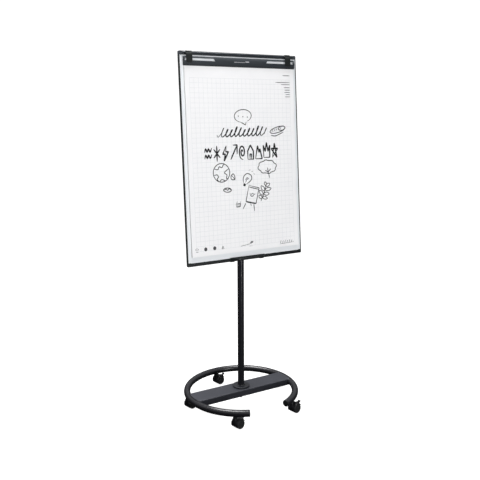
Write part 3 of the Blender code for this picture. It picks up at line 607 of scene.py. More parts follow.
def piece(name, shape, finish, body, matrix=None, stands_for="", bevel=0.0, smooth=35.0):
    """Puts a bmesh, or a copy of a mesh, in the scene as a piece that rides on a CAD body."""
    mesh = shape.copy() if isinstance(shape, bpy.types.Mesh) else mesh_from(shape)
    mesh.name = name
    mesh.materials.clear()
    mesh.materials.append(FINISHES[finish])
    mesh.shade_smooth()
    mesh.set_sharp_from_angle(angle=math.radians(smooth))
    obj = in_scene(bpy.data.objects.new(name, mesh))
    obj.matrix_world = matrix or axis_matrix()
    if bevel:
        soften(obj, bevel)
    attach(obj, body)
    if stands_for:
        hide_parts(stands_for)
    return obj


def dress(node, finish, bevel=0.0):
    """Gives a CAD node its material and, as modifiers, slightly rounded edges."""
    obj = frame["nodes"][node]
    obj.data.materials.clear()
    obj.data.materials.append(FINISHES[finish])
    if bevel:
        modifier = obj.modifiers.new("join", "WELD")
        modifier.merge_threshold = 0.000001
        soften(obj, bevel, 2)


# ---- Base and column

def ring_point(heading, reach=RING_RADIUS, height=0.0):
    turn = math.radians(heading)
    return (reach * math.cos(turn), reach * math.sin(turn), height)


def ring_tube(radii, start, end, steps, sides):
    """A bent tube with an outer and an inner skin, or a solid bar when there is one radius."""
    bm = bmesh.new()
    headings = [start + (end - start) * i / steps for i in range(steps + 1)]
    skins = []
    for radius in radii:
        section = circle(radius, sides)
        loops = [[ring_point(heading, RING_RADIUS + a, b) for a, b in section] for heading in headings]
        skins.append(skin(bm, loops))
    for end_index in (0, -1):
        if len(radii) == 1:
            bm.faces.new(skins[0][end_index])
        else:
            bridge(bm, skins[0][end_index], skins[1][end_index])
    return bm


def beam_section(inset):
    """The beam's section (y, z), with points along its sides so that the coped ends come out round."""
    half_y, half_z, corner = BEAM_DEPTH / 2 - inset, BEAM_HEIGHT / 2 - inset, 0.004 - inset
    points = []
    for sy, sz, start in CORNERS:
        middle = (sy * (half_y - corner), sz * (half_z - corner))
        points += arc(middle, corner, start, start + 90, 6)
        for k in range(1, 16):
            share = 1 - k / 8
            flat = start in (0, 180)
            points.append((middle[0] * share, sz * half_z) if flat else (sy * half_y, middle[1] * share))
    return points


def beam_end(inset, clear=TUBE_RADIUS + 2 * GAP):
    """Points (x, y, z) where the beam's section meets the ring's tube."""
    points = []
    for y, z in beam_section(inset):
        reach = RING_RADIUS - math.sqrt(max(clear * clear - z * z, 0.0))
        points.append((math.sqrt(reach * reach - y * y), y, z))
    return points


def cross_beam():
    bm = bmesh.new()
    skins = []
    for inset in (0.0, BEAM_WALL):
        right = beam_end(inset)
        skins.append(skin(bm, [[(-x, y, z) for x, y, z in right], right]))
    for outer, inner in zip(*skins):
        bridge(bm, outer, inner)
    return bm


def beam_weld(side):
    """The rippled weld bead between the beam's end and the ring."""
    path = [(side * (x + 0.0004), y, z) for x, y, z in beam_end(-0.0006)]
    radii = [0.0019 + WELD_RIPPLE * math.sin(i * 2.1) for i in range(len(path))]
    return weld_bead(path, radii, Vector((side, 0.0, 0.0)))


def column_weld(height, steps=150, ripples=25):
    """The rippled weld bead round the column's foot."""
    path = [(a, b, height) for a, b in circle(COLUMN_RADIUS + 0.0010, steps)]
    radii = [0.0023 + WELD_RIPPLE * math.sin(a * ripples) for a in turns(steps)]
    return weld_bead(path, radii, Vector((0.0, 0.0, 1.0)))


def ring_plug():
    spigot = TUBE_RADIUS - TUBE_WALL - 2 * GAP
    profile = [(0, -0.009), (spigot, -0.009), (spigot, GAP)] + near(TUBE_RADIUS, GAP, (-0.3, 0), (0, 0.3))
    dome = [math.radians(angle) for angle in (0, 12, 24, 36, 48, 60, 70, 78, 84)]
    profile += [(TUBE_RADIUS * math.cos(a), 0.0014 + 0.0032 * math.sin(a)) for a in dome]
    return lathe(profile + [(0, 0.0046)], 48)


def plug_matrix(heading, outward):
    tangent = Vector((-math.sin(math.radians(heading)), math.cos(math.radians(heading)), 0.0)) * outward
    inward = -Vector(ring_point(heading, 1.0))
    basis = Matrix((inward, tangent.cross(inward), tangent)).transposed().to_4x4()
    return axis_matrix(RING_Z) @ Matrix.Translation(ring_point(heading)) @ basis


def star_knob(low, hub_low, hub_radius, place, steps=96):
    """A six-lobed knob: a hub, a rounded grip and a cap set in its outer face."""
    high = low + KNOB_THICKNESS

    def ring(radius, depth):
        return [place(a, b, depth) for a, b in circle(radius, steps)]

    def star(inset, depth):
        reach = [KNOB_RADIUS * (0.90 + 0.10 * math.cos(KNOB_LOBES * a)) - inset for a in turns(steps)]
        return [place(r * math.cos(a), r * math.sin(a), depth) for a, r in zip(turns(steps), reach)]

    loops = [ring(hub_radius - 0.0006, hub_low), ring(hub_radius, hub_low + 0.0006), ring(hub_radius, low)]
    grip = near(0, low, (4.5, 0), (1.6, 0.4), (0.4, 1.4), (0, 3))
    grip += near(0, high, (0, -4), (0.5, -2.2), (1.8, -0.8), (3.8, 0))
    loops += [star(inset, depth) for inset, depth in grip]
    cap = near(0, high, (11.8, 0), (11.2, -0.7), (10.8, -0.7), (10.3, 0), (6, 0))
    return loft(loops + [ring(radius, depth) for radius, depth in cap])


def hex_bolt(seat, washer_radius, washer, head_radius, head, shank_radius, tip, place=along_z):
    """A hexagon bolt: washer on the seat, head below it, shank up to the tip."""
    under = seat - washer
    profile = [(0, under - 0.001), *near(washer_radius, under, (-0.4, 0), (0, 0.4)), (washer_radius, seat)]
    profile += [(shank_radius, seat), *near(shank_radius, tip, (0, -1), (-1, 0)), (0, tip)]
    outline = arc((0, 0), head_radius, 0, 300, 5)
    small = arc((0, 0), head_radius * 0.88, 0, 300, 5)
    levels = ((small, under - head), (outline, under - head * 0.86), (outline, under + 0.0005))
    hexagon = loft([[place(a, b, depth) for a, b in points] for points, depth in levels])
    return join(lathe(profile, 48, place), hexagon)


def straight_tube(radius, low, high):
    bore = radius - TUBE_WALL
    return lathe([(radius, low), (radius, high), (bore, high), (bore, low)], 96)


def build_base():
    base = axis_matrix(RING_Z)
    start, end = -90.0 + RING_OPENING / 2, 270.0 - RING_OPENING / 2
    tube = ring_tube((TUBE_RADIUS, TUBE_RADIUS - TUBE_WALL), start, end, steps=240, sides=48)
    piece("ring_tube", tube, "black", "base", base, "base_ring")
    for word, heading, outward in (("right", start, -1), ("left", end, 1)):
        piece(f"ring_end_{word}", ring_plug(), "moulded", "base",
              plug_matrix(heading, outward), f"ring_plug_{word}")
    piece("beam", cross_beam(), "beam", "base", base, "cross_beam")
    for word, side in (("left", -1), ("right", 1)):
        piece(f"beam_weld_{word}", beam_weld(side), "black", "base", base, smooth=60)

    low, high = RING_Z + BEAM_HEIGHT / 2 + GAP, COLUMN_LOW - GAP
    profile = [(0.0053, low), *near(FLANGE_RADIUS, low, (-0.5, 0), (0, 0.5))]
    profile += [(x, high - 0.002 + y) for x, y in arc((FLANGE_RADIUS - 0.002, 0.0), 0.002, 0, 90, 6)]
    profile += [(0.0157, high + 0.0002), (0.0157, low + 0.042), (0.0053, low + 0.042)]
    piece("foot_flange", lathe(profile, 120), "flange", "base", stands_for="column_flange")
    piece("foot_weld", column_weld(high + 0.0008), "black", "base", smooth=60)
    seat = RING_Z - BEAM_HEIGHT / 2 - GAP
    bolt = hex_bolt(seat, washer_radius=0.016, washer=0.0025, head_radius=0.0098, head=0.008,
                    shank_radius=0.005, tip=seat + 0.070)
    low, _ = height_span("column_bolt")
    stud = lathe([(0, low), (0.004, low), (0.005, low + 0.001), (0.005, seat), (0, seat)], 32)
    bolt = join(bolt, stud)
    piece("foot_stud", bolt, "zinc", "base", stands_for="column_bolt")

    tube = straight_tube(COLUMN_RADIUS, COLUMN_LOW, COLUMN_TOP)
    piece("column", tube, "black", "base", stands_for="column_tube")
    build_collar()


def build_collar():
    """The bush on the outer tube, with the height knob at its back."""
    low, high = height_span("column_collar")
    outer, wide, narrow = 0.022, COLUMN_RADIUS + GAP, INNER_RADIUS + 2 * GAP
    profile = [(wide, low), *near(outer, low, (-1.2, 0), (-0.4, 0.6), (0, 2))]
    for groove in (low + 0.006, low + 0.010):
        profile += near(outer, groove, (0, 0), (-0.6, 0.4), (-0.6, 1), (0, 1.4))
    profile += near(outer, high, (0, -5), (-0.4, -3), (-1.3, -1.2), (-3, 0))
    profile += [(narrow, high), (narrow, COLUMN_TOP + GAP), (wide, COLUMN_TOP + GAP)]
    boss = lathe(near(0, 0, (0, 18.5), (9, 18.5), (9, 28), (8.6, 29.2), (8, 30), (0, 30)), 48, along_y)
    collar = join(lathe(profile, 72), moved(boss, (0.0, 0.0, KNOB_Z)))
    piece("collar", collar, "moulded", "base", stands_for="column_collar")
    knob = star_knob(low=0.036, hub_low=0.0325, hub_radius=0.009, place=along_y)
    piece("height_grip", knob, "moulded", "height_knob", axis_matrix(KNOB_Z), "height_knob")
    tip = INNER_RADIUS + GAP
    screw = lathe([(0, tip), (0.003, tip), (0.0039, tip + 0.001), (0.0039, 0.0330), (0, 0.0330)], 32, along_y)
    piece("height_screw", screw, "zinc", "height_knob", axis_matrix(KNOB_Z))


def build_head():
    """The inner tube, its cast head and the tilt joint."""
    tube = straight_tube(INNER_RADIUS, *height_span("inner_tube"))
    piece("inner_column", tube, "steel", "lift", stands_for="inner_tube")
    dress("inner_foot", "moulded")
    low, high = height_span("tilt_head")
    bore = INNER_RADIUS + GAP
    profile = [(bore, low), *near(HEAD_RADIUS, low, (-1, 0), (0, 1))]
    profile += near(HEAD_RADIUS, high, (0, -3.5), (-0.3, -2), (-1.2, -0.8), (-3, 0))
    profile += [(0.0073, high), (0.0073, high - 0.0027), (bore, high - 0.0027)]
    piece("head", lathe(profile, 72), "black", "lift", stands_for="tilt_head")
    foot = high + GAP - TILT_AXIS.z
    outline = arc((0, 0), EYE_RADIUS, 0, 180, 36) + [(-EYE_RADIUS, foot), (EYE_RADIUS, foot)]
    eye = prism(outline, -EYE_HALF, EYE_HALF, along_x)
    spigot = lathe([(0, foot - 0.014), (0.007, foot - 0.014), (0.007, foot + 0.004), (0, foot + 0.004)], 32)
    piece("head_eye", join(eye, spigot), "black", "lift",
          axis_matrix(TILT_AXIS.z), "tilt_eye", bevel=0.0006)

    tilt = board_matrix(AXIS_TO_FOOT, -AXIS_TO_FACE)
    front = -(AXIS_TO_FACE - BOARD_DEPTH) + GAP
    back = front + BRACKET_SHEET
    bracket = prism(rounded_rectangle(0.096, 0.120, 0.008, 8), front, back, along_y)
    cheek = [(back - 0.001, -0.030), (0.0, -EYE_RADIUS)] + arc((0, 0), EYE_RADIUS, -75, 75, 30)
    cheek += [(0.0, EYE_RADIUS), (back - 0.001, 0.040)]
    inner = EYE_HALF + 0.0004
    for side in (-1, 1):
        low, high = sorted((side * inner, side * (inner + BRACKET_SHEET)))
        bracket = join(bracket, prism(cheek, low, high, along_x))
    piece("bracket", bracket, "black", "board", tilt, "tilt_bracket", bevel=0.0004)
    dome = near(0, 0, (0, 0), (4.4, 0), (4.4, 0.6), (3.8, 1.8), (2.6, 2.5), (1.9, 2.6), (1.9, 1.2), (0, 1.2))
    screws = bmesh.new()
    for across in (-0.038, 0.038):
        for up in (-0.050, 0.050):
            lathe(dome, 32, lambda a, b, depth, x=across, z=up: (x + a, back + depth, z + b), screws)
    piece("bracket_screws", screws, "zinc", "board", tilt)
    bolt = hex_bolt(-0.0127, washer_radius=0.0085, washer=0.001, head_radius=0.0075, head=0.0055,
                    shank_radius=0.004, tip=0.030, place=along_x)
    piece("tilt_pin", bolt, "zinc", "board", tilt, "tilt_bolt")
    knob = star_knob(low=0.0207, hub_low=0.0127, hub_radius=0.0095, place=along_x)
    knob = cut(knob, lathe([(0, 0.0), (0.0043, 0.0), (0.0043, 0.0305), (0, 0.0305)], 32, along_x))
    piece("tilt_grip", knob, "moulded", "tilt_knob", tilt, "tilt_knob")


# ---- Board and pad

def build_board():
    dress("board_core", "back")
    dress("writing_surface", "enamel")
    # Painted light on the side profiles: the left one near black as painted shade, the right one lighter slate as
    # a painted reflection.
    dress("left_profile", "shaded_side", 0.0004)
    dress("right_profile", "lit_side", 0.0004)
    dress("top_rail", "slate", 0.0004)
    dress("hook_rail", "slate")
    dress("bottom_rail", "black_rail", 0.0004)
    dress("backing_card", "card")
    for word in ("left", "right"):
        dress(f"top_{word}_corner", "slate_moulded", 0.0005)
        dress(f"bottom_{word}_corner", "moulded", 0.0005)
        dress(f"tray_clip_{word}", "moulded", 0.0003)


def page_front(u, v):
    """The front page's w: it stands off the stack a little, most at its two lower corners."""
    total = PAD_FRONT_W
    for side, height, reach in ((1, 0.0050, 0.16), (-1, 0.0030, 0.13)):
        share = 1 - math.hypot(PAD_WIDTH / 2 - side * u, v - PAD_LOW) / reach
        total += height * max(share, 0.0) ** 2
    wave = 0.0004 * math.sin(u * 17 + 0.6) * min((PAD_LOW + PAD_HEIGHT - v) / 0.9, 1.0) ** 2
    return total + abs(wave)


def pad_stack():
    """The sheets under the front page, a little out of line with each other."""
    rng = random.Random(7)
    loops = []
    layers = 9
    top = PAD_FRONT_W - 0.0004
    for i in range(layers):
        left, right, foot = (rng.uniform(0.0, 0.0006) for _ in range(3))
        half = PAD_WIDTH / 2
        width, height = 2 * half - left - right, PAD_HEIGHT - foot
        middle = ((left - right) / 2, PAD_LOW + foot + height / 2)
        outline = rounded_rectangle(width, height, 0.0012, 2, middle)
        for w in (top * i / layers, top * (i + 1) / layers):
            loops.append([front_view(a, b, w) for a, b in outline])
    return loft(loops)


def front_page():
    """The front page as a thin closed slab, cut square and lifting at its lower corners."""
    bm = bmesh.new()
    across, up = 66, 98
    layers = []
    for depth in (0.0, PAGE_THICKNESS):
        rows = []
        for j in range(up + 1):
            v = PAD_LOW + PAD_HEIGHT * j / up
            columns = [PAD_WIDTH * (i / across - 0.5) for i in range(across + 1)]
            rows.append([front_view(u, v, page_front(u, v) - PAGE_THICKNESS + depth) for u in columns])
        layers.append(skin(bm, rows, closed=False))
    rims = []
    for grid in layers:
        left, right = [row[0] for row in grid], [row[-1] for row in grid]
        rims.append(grid[0] + right[1:] + grid[-1][-2::-1] + left[-2:0:-1])
    bridge(bm, *rims)
    return bm


def build_pad():
    stack = piece("pad_stack", pad_stack(), "edges", "board", board_matrix(), "paper_pad", smooth=20)
    page = piece("front_page", front_page(), "page", "board", board_matrix(), smooth=60)


# ---- Drawing on the page, in millimetres

def curve(points, steps=6, closed=False):
    """A smooth line through the points."""
    count = len(points)
    result = []
    for i in range(count if closed else count - 1):
        places = [(i + k) % count if closed else min(max(i + k, 0), count - 1) for k in (-1, 0, 1, 2)]
        p0, p1, p2, p3 = (Vector(points[k]) for k in places)
        for k in range(steps):
            t = k / steps
            point = 2 * p1 + (p2 - p0) * t + (2 * p0 - 5 * p1 + 4 * p2 - p3) * t ** 2
            result.append(tuple((point + (3 * p1 - p0 - 3 * p2 + p3) * t ** 3) / 2))
    return result if closed else result + [points[-1]]


def oval(middle, across, up, tilt=0.0, start=0.0, end=360.0, steps=40):
    """Points on a tilted ellipse; a whole one comes without its repeated last point."""
    turn = math.radians(tilt)
    points = []
    for a, b in arc((0, 0), 1.0, start, end, steps)[:steps if end - start == 360 else None]:
        a, b = a * across, b * up
        u = middle[0] + a * math.cos(turn) - b * math.sin(turn)
        points.append((u, middle[1] + a * math.sin(turn) + b * math.cos(turn)))
    return points


class Drawing:
    """Pen strokes as thin slabs that follow the page."""

    def __init__(self, height=0.00008):
        self.bm = bmesh.new()
        self.height = height

    def point(self, u, v, top):
        u, v = u / 1000, v / 1000
        return front_view(u, v, page_front(u, v) + (self.height if top else -0.00005))

    def stroke(self, points, width, closed=False):
        count = len(points)
        rows = []
        for i, (u, v) in enumerate(points):
            before = points[i - 1] if closed or i else points[i]
            after = points[(i + 1) % count] if closed or i < count - 1 else points[i]
            along = (Vector(after) - Vector(before)).normalized()
            share = 1.0 if closed else min(1.0, 0.45 + 0.9 * min(i, count - 1 - i) / max(count / 4, 1))
            a, b = -along.y * width / 2 * share, along.x * width / 2 * share
            rows.append([self.point(u + a, v + b, False), self.point(u + a, v + b, True),
                         self.point(u - a, v - b, True), self.point(u - a, v - b, False)])
        loft(rows, self.bm, caps=not closed)

    def line(self, points, width, radius=0.0):
        """Straight strokes, with enough points between the corners to follow the page."""
        if radius:
            points = round_corners(points, radius, closed=False)
        dense = [points[0]]
        for start, end in zip(points, points[1:]):
            pieces = max(1, int((Vector(end) - Vector(start)).length / 8))
            dense += [tuple(Vector(start).lerp(Vector(end), k / pieces)) for k in range(1, pieces + 1)]
        self.stroke(dense, width)

    def blot(self, outline):
        loft([[self.point(u, v, top) for u, v in outline] for top in (False, True)], self.bm)


def coil(drawing, start, end, heights, width):
    """A scribbled spring that leans to the right, its turns of different heights."""
    count = len(heights)
    points = []
    for i in range(count * 12):
        share = i / (count * 12 - 1)
        turn = 2 * math.pi * share * count
        at = int(share * count * 0.999)
        blend = share * count % 1.0
        height = heights[at] * (1 - blend) + heights[min(at + 1, count - 1)] * blend
        u = start[0] + (end[0] - start[0]) * share - 9 * math.cos(turn)
        v = start[1] + (end[1] - start[1]) * share + height * (0.5 - 0.5 * math.cos(turn - 0.9))
        points.append((u + 0.25 * (v - start[1]), v))
    drawing.stroke(curve(points, 2), width)


SPIRAL = [(50 + (6 + 44 * k / 14) * math.cos(0.8 * k), 50 + (6 + 44 * k / 14) * math.sin(0.8 * k))
          for k in range(15)]
# Each large doodle's lines, in a box of 100 by 100
BOLD_SHAPES = (
    ([(0, 62), (16, 88), (36, 66), (56, 88), (76, 66), (100, 92)],
     [(0, 20), (16, 46), (36, 24), (56, 46), (76, 24), (100, 50)]),
    ([(50, 0), (50, 100)], [(5, 22), (95, 78)], [(5, 78), (95, 22)]),
    ([(62, 100), (10, 44), (46, 46), (28, 0), (92, 60), (54, 60), (62, 100)],),
    ([(0, 5), (92, 92)], [(35, 98), (98, 98), (95, 38)]),
    (SPIRAL,),
    ([(8, 0), (8, 58), (50, 100), (92, 58), (92, 0), (8, 0)],
     [(40, 0), (40, 36), (62, 36), (62, 0)]),
    ([(0, 0), (36, 92), (56, 46), (70, 70), (100, 0), (0, 0)],),
    ([(4, 5), (0, 82), (28, 44), (50, 100), (72, 44), (100, 82), (96, 5), (4, 5)],),
    ([(16, 2), (50, 100), (84, 2), (0, 64), (100, 64), (16, 2)],),
)
CURVED_SHAPES = (0, 4)


def bold_row(drawing):
    """A row of large doodles: waves, spark, bolt, arrow, spiral, house, peaks, crown and star."""
    rng = random.Random(3)
    left, right, low, lift, height, gap = -232, 219, 527, 1, 82, 0.18
    step = (right - left) / len(BOLD_SHAPES)
    for i, shape in enumerate(BOLD_SHAPES):
        wide, tall = step * (1 - gap) / 100, height / 100 * rng.uniform(0.90, 1.04)
        for line in shape:
            points = [(left + step * i + a * wide, low + lift * i + b * tall) for a, b in line]
            if i in CURVED_SHAPES:
                drawing.stroke(curve(points, 4), 8.0)
            else:
                drawing.line(points, 8.0, 3.0)


PEN = 4.6
THIN = 3.6


def doodles(drawing):
    """Small outline drawings in fine pen."""
    def closed_line(points, width=PEN):
        drawing.stroke(points, width, closed=True)

    def open_line(points, width=PEN):
        drawing.stroke(curve(points), width)

    # Speech bubble with three dots
    drawing.stroke(oval((0, 759), 51, 33, 4, -62, 248, 48), PEN)
    drawing.line([(-16, 728), (14, 712), (19, 729)], PEN, 2.0)
    for u, v in ((-27, 758), (0, 755), (27, 753)):
        drawing.blot(oval((u, v), 3.4, 3.0, steps=12))

    # Planet
    closed_line(oval((214, 684), 50, 15, 14))
    closed_line(oval((240, 692), 21, 11, 12))
    for k in range(5):
        drawing.line([(176 + 13 * k, 671 + 3 * k), (186 + 13 * k, 688 + 3 * k)], THIN)
    open_line([(170, 655), (196, 651), (224, 660), (250, 671)])

    # Globe
    closed_line(oval((-139, 469), 48, 48))
    open_line([(-182, 490), (-160, 486), (-152, 500), (-136, 496), (-128, 508), (-118, 512)])
    open_line([(-184, 455), (-166, 460), (-158, 448), (-166, 436), (-156, 426)])
    open_line([(-95, 488), (-110, 480), (-122, 468), (-108, 456), (-112, 440), (-102, 438)])
    open_line([(-150, 424), (-140, 434), (-126, 430), (-118, 426)])

    # Drop and lips
    closed_line(curve([(-84, 436), (-82, 452), (-70, 460), (-62, 446), (-62, 432), (-74, 430)], closed=True))
    open_line([(-80, 452), (-70, 442), (-60, 428)], THIN)
    closed_line(oval((-108, 378), 23, 11, -4))
    open_line([(-128, 378), (-116, 384), (-108, 377), (-98, 384), (-88, 378)])

    # Tree
    crown = []
    for k in range(8):
        turn = math.radians(45 * k + 10)
        middle = (140 + 42 * math.cos(turn), 488 + 24 * math.sin(turn))
        crown += oval(middle, 17, 13, 0, 45 * k - 40, 45 * k + 60, 6)
    closed_line(curve(crown, 2, closed=True))
    open_line([(152, 428), (149, 446), (145, 462), (141, 484)])
    open_line([(146, 456), (134, 466), (126, 468)])
    open_line([(146, 462), (156, 470), (160, 477)])

    # Light bulb
    open_line([(-8, 408), (-12, 424), (-6, 446), (14, 458), (36, 448), (40, 428), (24, 412), (6, 402)])
    drawing.blot([(-9, 409), (5, 402), (-1, 390), (-13, 395)])
    open_line([(2, 424), (12, 436), (20, 430), (10, 426), (2, 410)], THIN)
    for start, end in (((24, 473), (34, 477)), ((40, 468), (50, 467)), ((52, 458), (60, 451))):
        drawing.line([start, end], 3.8)

    # Easel
    corners = [(22, 395), (84, 378), (62, 297), (1, 312)]
    drawing.line(corners + corners[:1], PEN, 1.5)
    for start, end in (((20, 387), (82, 370)), ((0, 304), (-19, 272)), ((48, 296), (51, 256))):
        drawing.line([start, end], PEN)
    drawing.line([(1, 309), (63, 294)], 5.0)
    drawing.line([(28, 300), (33, 284)], THIN)
    open_line([(26, 352), (34, 346), (42, 352), (50, 345), (60, 348)], 3.4)
    open_line([(28, 343), (38, 336), (50, 340)])

    # Twig: each leaf from its root to its tip, with a bulge to one side and the other
    open_line([(92, 306), (104, 328), (116, 354), (128, 392)])
    leaves = (((100, 320), (82, 338), 8), ((104, 328), (134, 318), -8), ((108, 338), (86, 364), 9),
              ((113, 346), (146, 342), -9), ((118, 360), (98, 388), 9), ((122, 366), (160, 370), -9),
              ((128, 388), (122, 408), 7), ((127, 384), (152, 398), -8))
    for root, tip, bulge in leaves:
        middle = (Vector(root) + Vector(tip)) / 2
        side = Vector((tip[1] - root[1], root[0] - tip[0])).normalized() * bulge
        closed_line(curve([root, tuple(middle + side), tip, tuple(middle - side)], 5, closed=True), 4.2)

    # Plant pot
    drawing.line([(-60, 302), (-57, 286), (-36, 286), (-33, 302), (-60, 302)], PEN, 1.5)
    for u in (-52, -46, -40):
        drawing.line([(u, 301), (u, 288)], THIN)
    for u in (-58, -36):
        drawing.line([(u, 303), (u + 6, 314)], PEN)


def printed_marks(drawing):
    """Printed icons and plain lines along the page's edges."""
    drawing.stroke(oval((-298, 86), 8, 5), 1.6, closed=True)
    for u in (-248, -196):
        drawing.blot(oval((u, 83), 9.0, 10.0, steps=24))
    drawing.stroke(curve([(-42, 77), (-16, 80), (12, 84), (34, 90)]), 2.4)
    drawing.blot([(14, 88), (24, 98), (38, 97), (34, 90)])
    drawing.line([(-306, 73), (-290, 73)], 2.2)
    drawing.line([(206, 64), (296, 68)], 2.2)
    drawing.line([(8, 72), (30, 72)], 1.4)
    drawing.line([(-154, 75), (-148, 90), (-142, 75), (-154, 75)], THIN)
    for k in range(6):
        drawing.line([(208 + 14 * k, 66), (214 + 14 * k, 84 - 3 * (k % 2))], 3.0)
    end = 302
    for v, length in ((973, 46), (936, 92), (925, 58), (909, 40), (896, 36), (884, 38), (872, 30), (860, 34)):
        drawing.line([(end - length, v), (end, v)], THIN)


def build_drawing():
    bold, fine, print_ = Drawing(), Drawing(), Drawing()
    coil(bold, (-150, 652), (136, 656), (62, 36, 40, 34, 58, 36, 34, 44, 36, 58, 40), 6.6)
    bold_row(bold)
    doodles(fine)
    printed_marks(print_)
    for name, drawing, mat in (("bold_strokes", bold, "bold_ink"), ("fine_strokes", fine, "fine_ink"),
                               ("printed_marks", print_, "print")):
        piece(name, drawing.bm, mat, "board", board_matrix())


# ---- Paper clamp

CLAMP_MIDDLE = (CLAMP_LOW + CLAMP_HIGH) / 2
CLAMP_HALF = (CLAMP_HIGH - CLAMP_LOW) / 2


def clamp_bow(share):
    """The bar's w, where share runs from -1 at its lower edge to 1 at its upper edge."""
    return CLAMP_BACK_W + CLAMP_BULGE * (1 - abs(share) ** 3)


def clamp_curve(offset, steps=28):
    """The bar's bowed face, as (w, v) points from its lower edge to its upper edge."""
    half = CLAMP_HALF - offset * 0.5
    shares = [-1 + 2 * i / steps for i in range(steps + 1)]
    return [(clamp_bow(t) - offset, CLAMP_MIDDLE + half * t) for t in shares]


def clamp_bar():
    inner = [(max(w, CLAMP_BACK_W), v) for w, v in clamp_curve(CLAMP_WALL)[1:-1]]
    half = CLAMP_WIDTH / 2
    bar = prism(clamp_curve(0.0) + inner[::-1], -half, half, side_view)
    for side in (-1, 1):
        outer, inner = half - SLOT_INSET, half - SLOT_INSET - SLOT_LENGTH
        low, high = SLOT_V - SLOT_HEIGHT / 2, SLOT_V + SLOT_HEIGHT / 2
        corners = [(outer, low), (outer, high), (inner + SLOT_SLANT, high), (inner, low)]
        slot = round_corners([(side * u, v) for u, v in corners], 0.0015)
        bar = cut(bar, prism(slot, -0.01, 0.03, front_view))
    return bar


def clamp_arm(middle):
    """An arm that clips round the rail's bead, crosses the bar and ends in a peg through its slot."""
    bead, radius = (BEAD_W, BEAD_V), 0.0095
    front, back, low = 0.0185, 0.0139, 1.021
    outline = arc(bead, radius, 63, -10, 20)
    outline += near(front, BEAD_V, (-0.2, -9), (0, -13)) + near(front, low, (0, 3), (-0.6, 1), (-2, 0))
    outline += [(back, low), (back, BEAD_V - 0.018)]
    outline += arc(bead, radius, -62, -118, 16) + arc(bead, 0.0044, -118, 63, 40)
    arm = prism(outline, middle - ARM_WIDTH / 2, middle + ARM_WIDTH / 2, side_view)
    top = BEAD_V + radius + 0.004
    height = top - low
    face = rounded_rectangle(ARM_WIDTH - 0.001, height, 0.009, 12, (middle, top - height / 2))
    arm = combine(arm, "INTERSECT", prism(face, -0.02, 0.04, front_view))
    for offset in (-0.006, 0.0, 0.006):
        groove = rounded_rectangle(0.0016, 0.020, 0.0007, 4, (middle + offset, low + 0.019))
        arm = cut(arm, prism(groove, front - 0.0007, front + 0.01, front_view))
    tip, root = -0.0008, back + 0.002
    peg = [(0, -root), (0.0035, -root), (0.0035, -tip - 0.001), (0.0027, -tip), (0, -tip)]
    peg = moved(lathe(peg, 32, along_y), (middle, 0.0, SLOT_V))
    return join(arm, peg)


def build_clamp():
    place = board_matrix()
    piece("clamp_profile", clamp_bar(), "slate", "clamp", place, "clamp_bar")
    for word, side in (("left", -1), ("right", 1)):
        low, high = sorted((side * (CLAMP_WIDTH / 2 + GAP), side * (CLAMP_WIDTH / 2 + 0.0018)))
        piece(f"clamp_cap_{word}", prism(clamp_curve(0.0), low, high, side_view), "moulded", "clamp", place,
              f"clamp_end_{word}", bevel=0.0003)
        piece(f"pad_hook_{word}", clamp_arm(centre(f"clamp_arm_{word}").x), "moulded", f"arm_{word}", place,
              f"clamp_arm_{word}", bevel=0.0005)
    mark = bmesh.new()
    for low_u, high_u, low_v, high_v in ((-0.043, 0.020, 1.0325, 1.0340), (0.024, 0.046, 1.0345, 1.0385)):
        middle = ((low_u + high_u) / 2, (low_v + high_v) / 2)
        outline = rounded_rectangle(high_u - low_u, high_v - low_v, 0.0006, 3, middle)
        loops = []
        for lift in (-0.0002, 0.00008):
            loops.append([front_view(a, b, clamp_bow((b - CLAMP_MIDDLE) / CLAMP_HALF) + lift)
                          for a, b in outline])
        loft(loops, mark)
    piece("clamp_mark", mark, "pale_print", "clamp", place)


# ---- Pen tray

def tray_loop(inset, v):
    """Plan of the tray at one height: a trapezoid, wide at the rail, with rounded corners."""
    back, front = 0.105 - 1.3 * inset, 0.075 - 0.7 * inset
    rear, lip = GAP + inset, TRAY_DEPTH - inset
    sides = [(back, rear + 0.008), (front, lip), (-front, lip), (-back, rear + 0.008)]
    rounded = [(back, rear)] + round_corners(sides, 0.016, 10, closed=False) + [(-back, rear)]
    return [plan_view(a, b, v) for a, b in rounded]


def pen_tray():
    wall = 0.0022
    levels = near(0, TRAY_FLOOR_V, (4, 0), (1.8, 0.6), (0.5, 2), (0, 4.5))
    levels += near(0, TRAY_TOP_V, (0, -1), (0.3, -0.3), (0.9, 0))
    levels += near(wall, TRAY_TOP_V, (-0.9, 0), (-0.3, -0.3), (0, -1))
    levels += near(wall, TRAY_FLOOR_V, (0, 6), (0.8, 3.8), (2.4, 2.6), (4.5, 2.2))
    return loft([tray_loop(inset, v) for inset, v in levels])


# ---- Castors

def about_axle(radius, angle):
    """A point about the castor's axle, as (x, z), the angle in degrees."""
    turn = math.radians(angle)
    return (TRAIL + radius * math.cos(turn), WHEEL_RADIUS + radius * math.sin(turn))


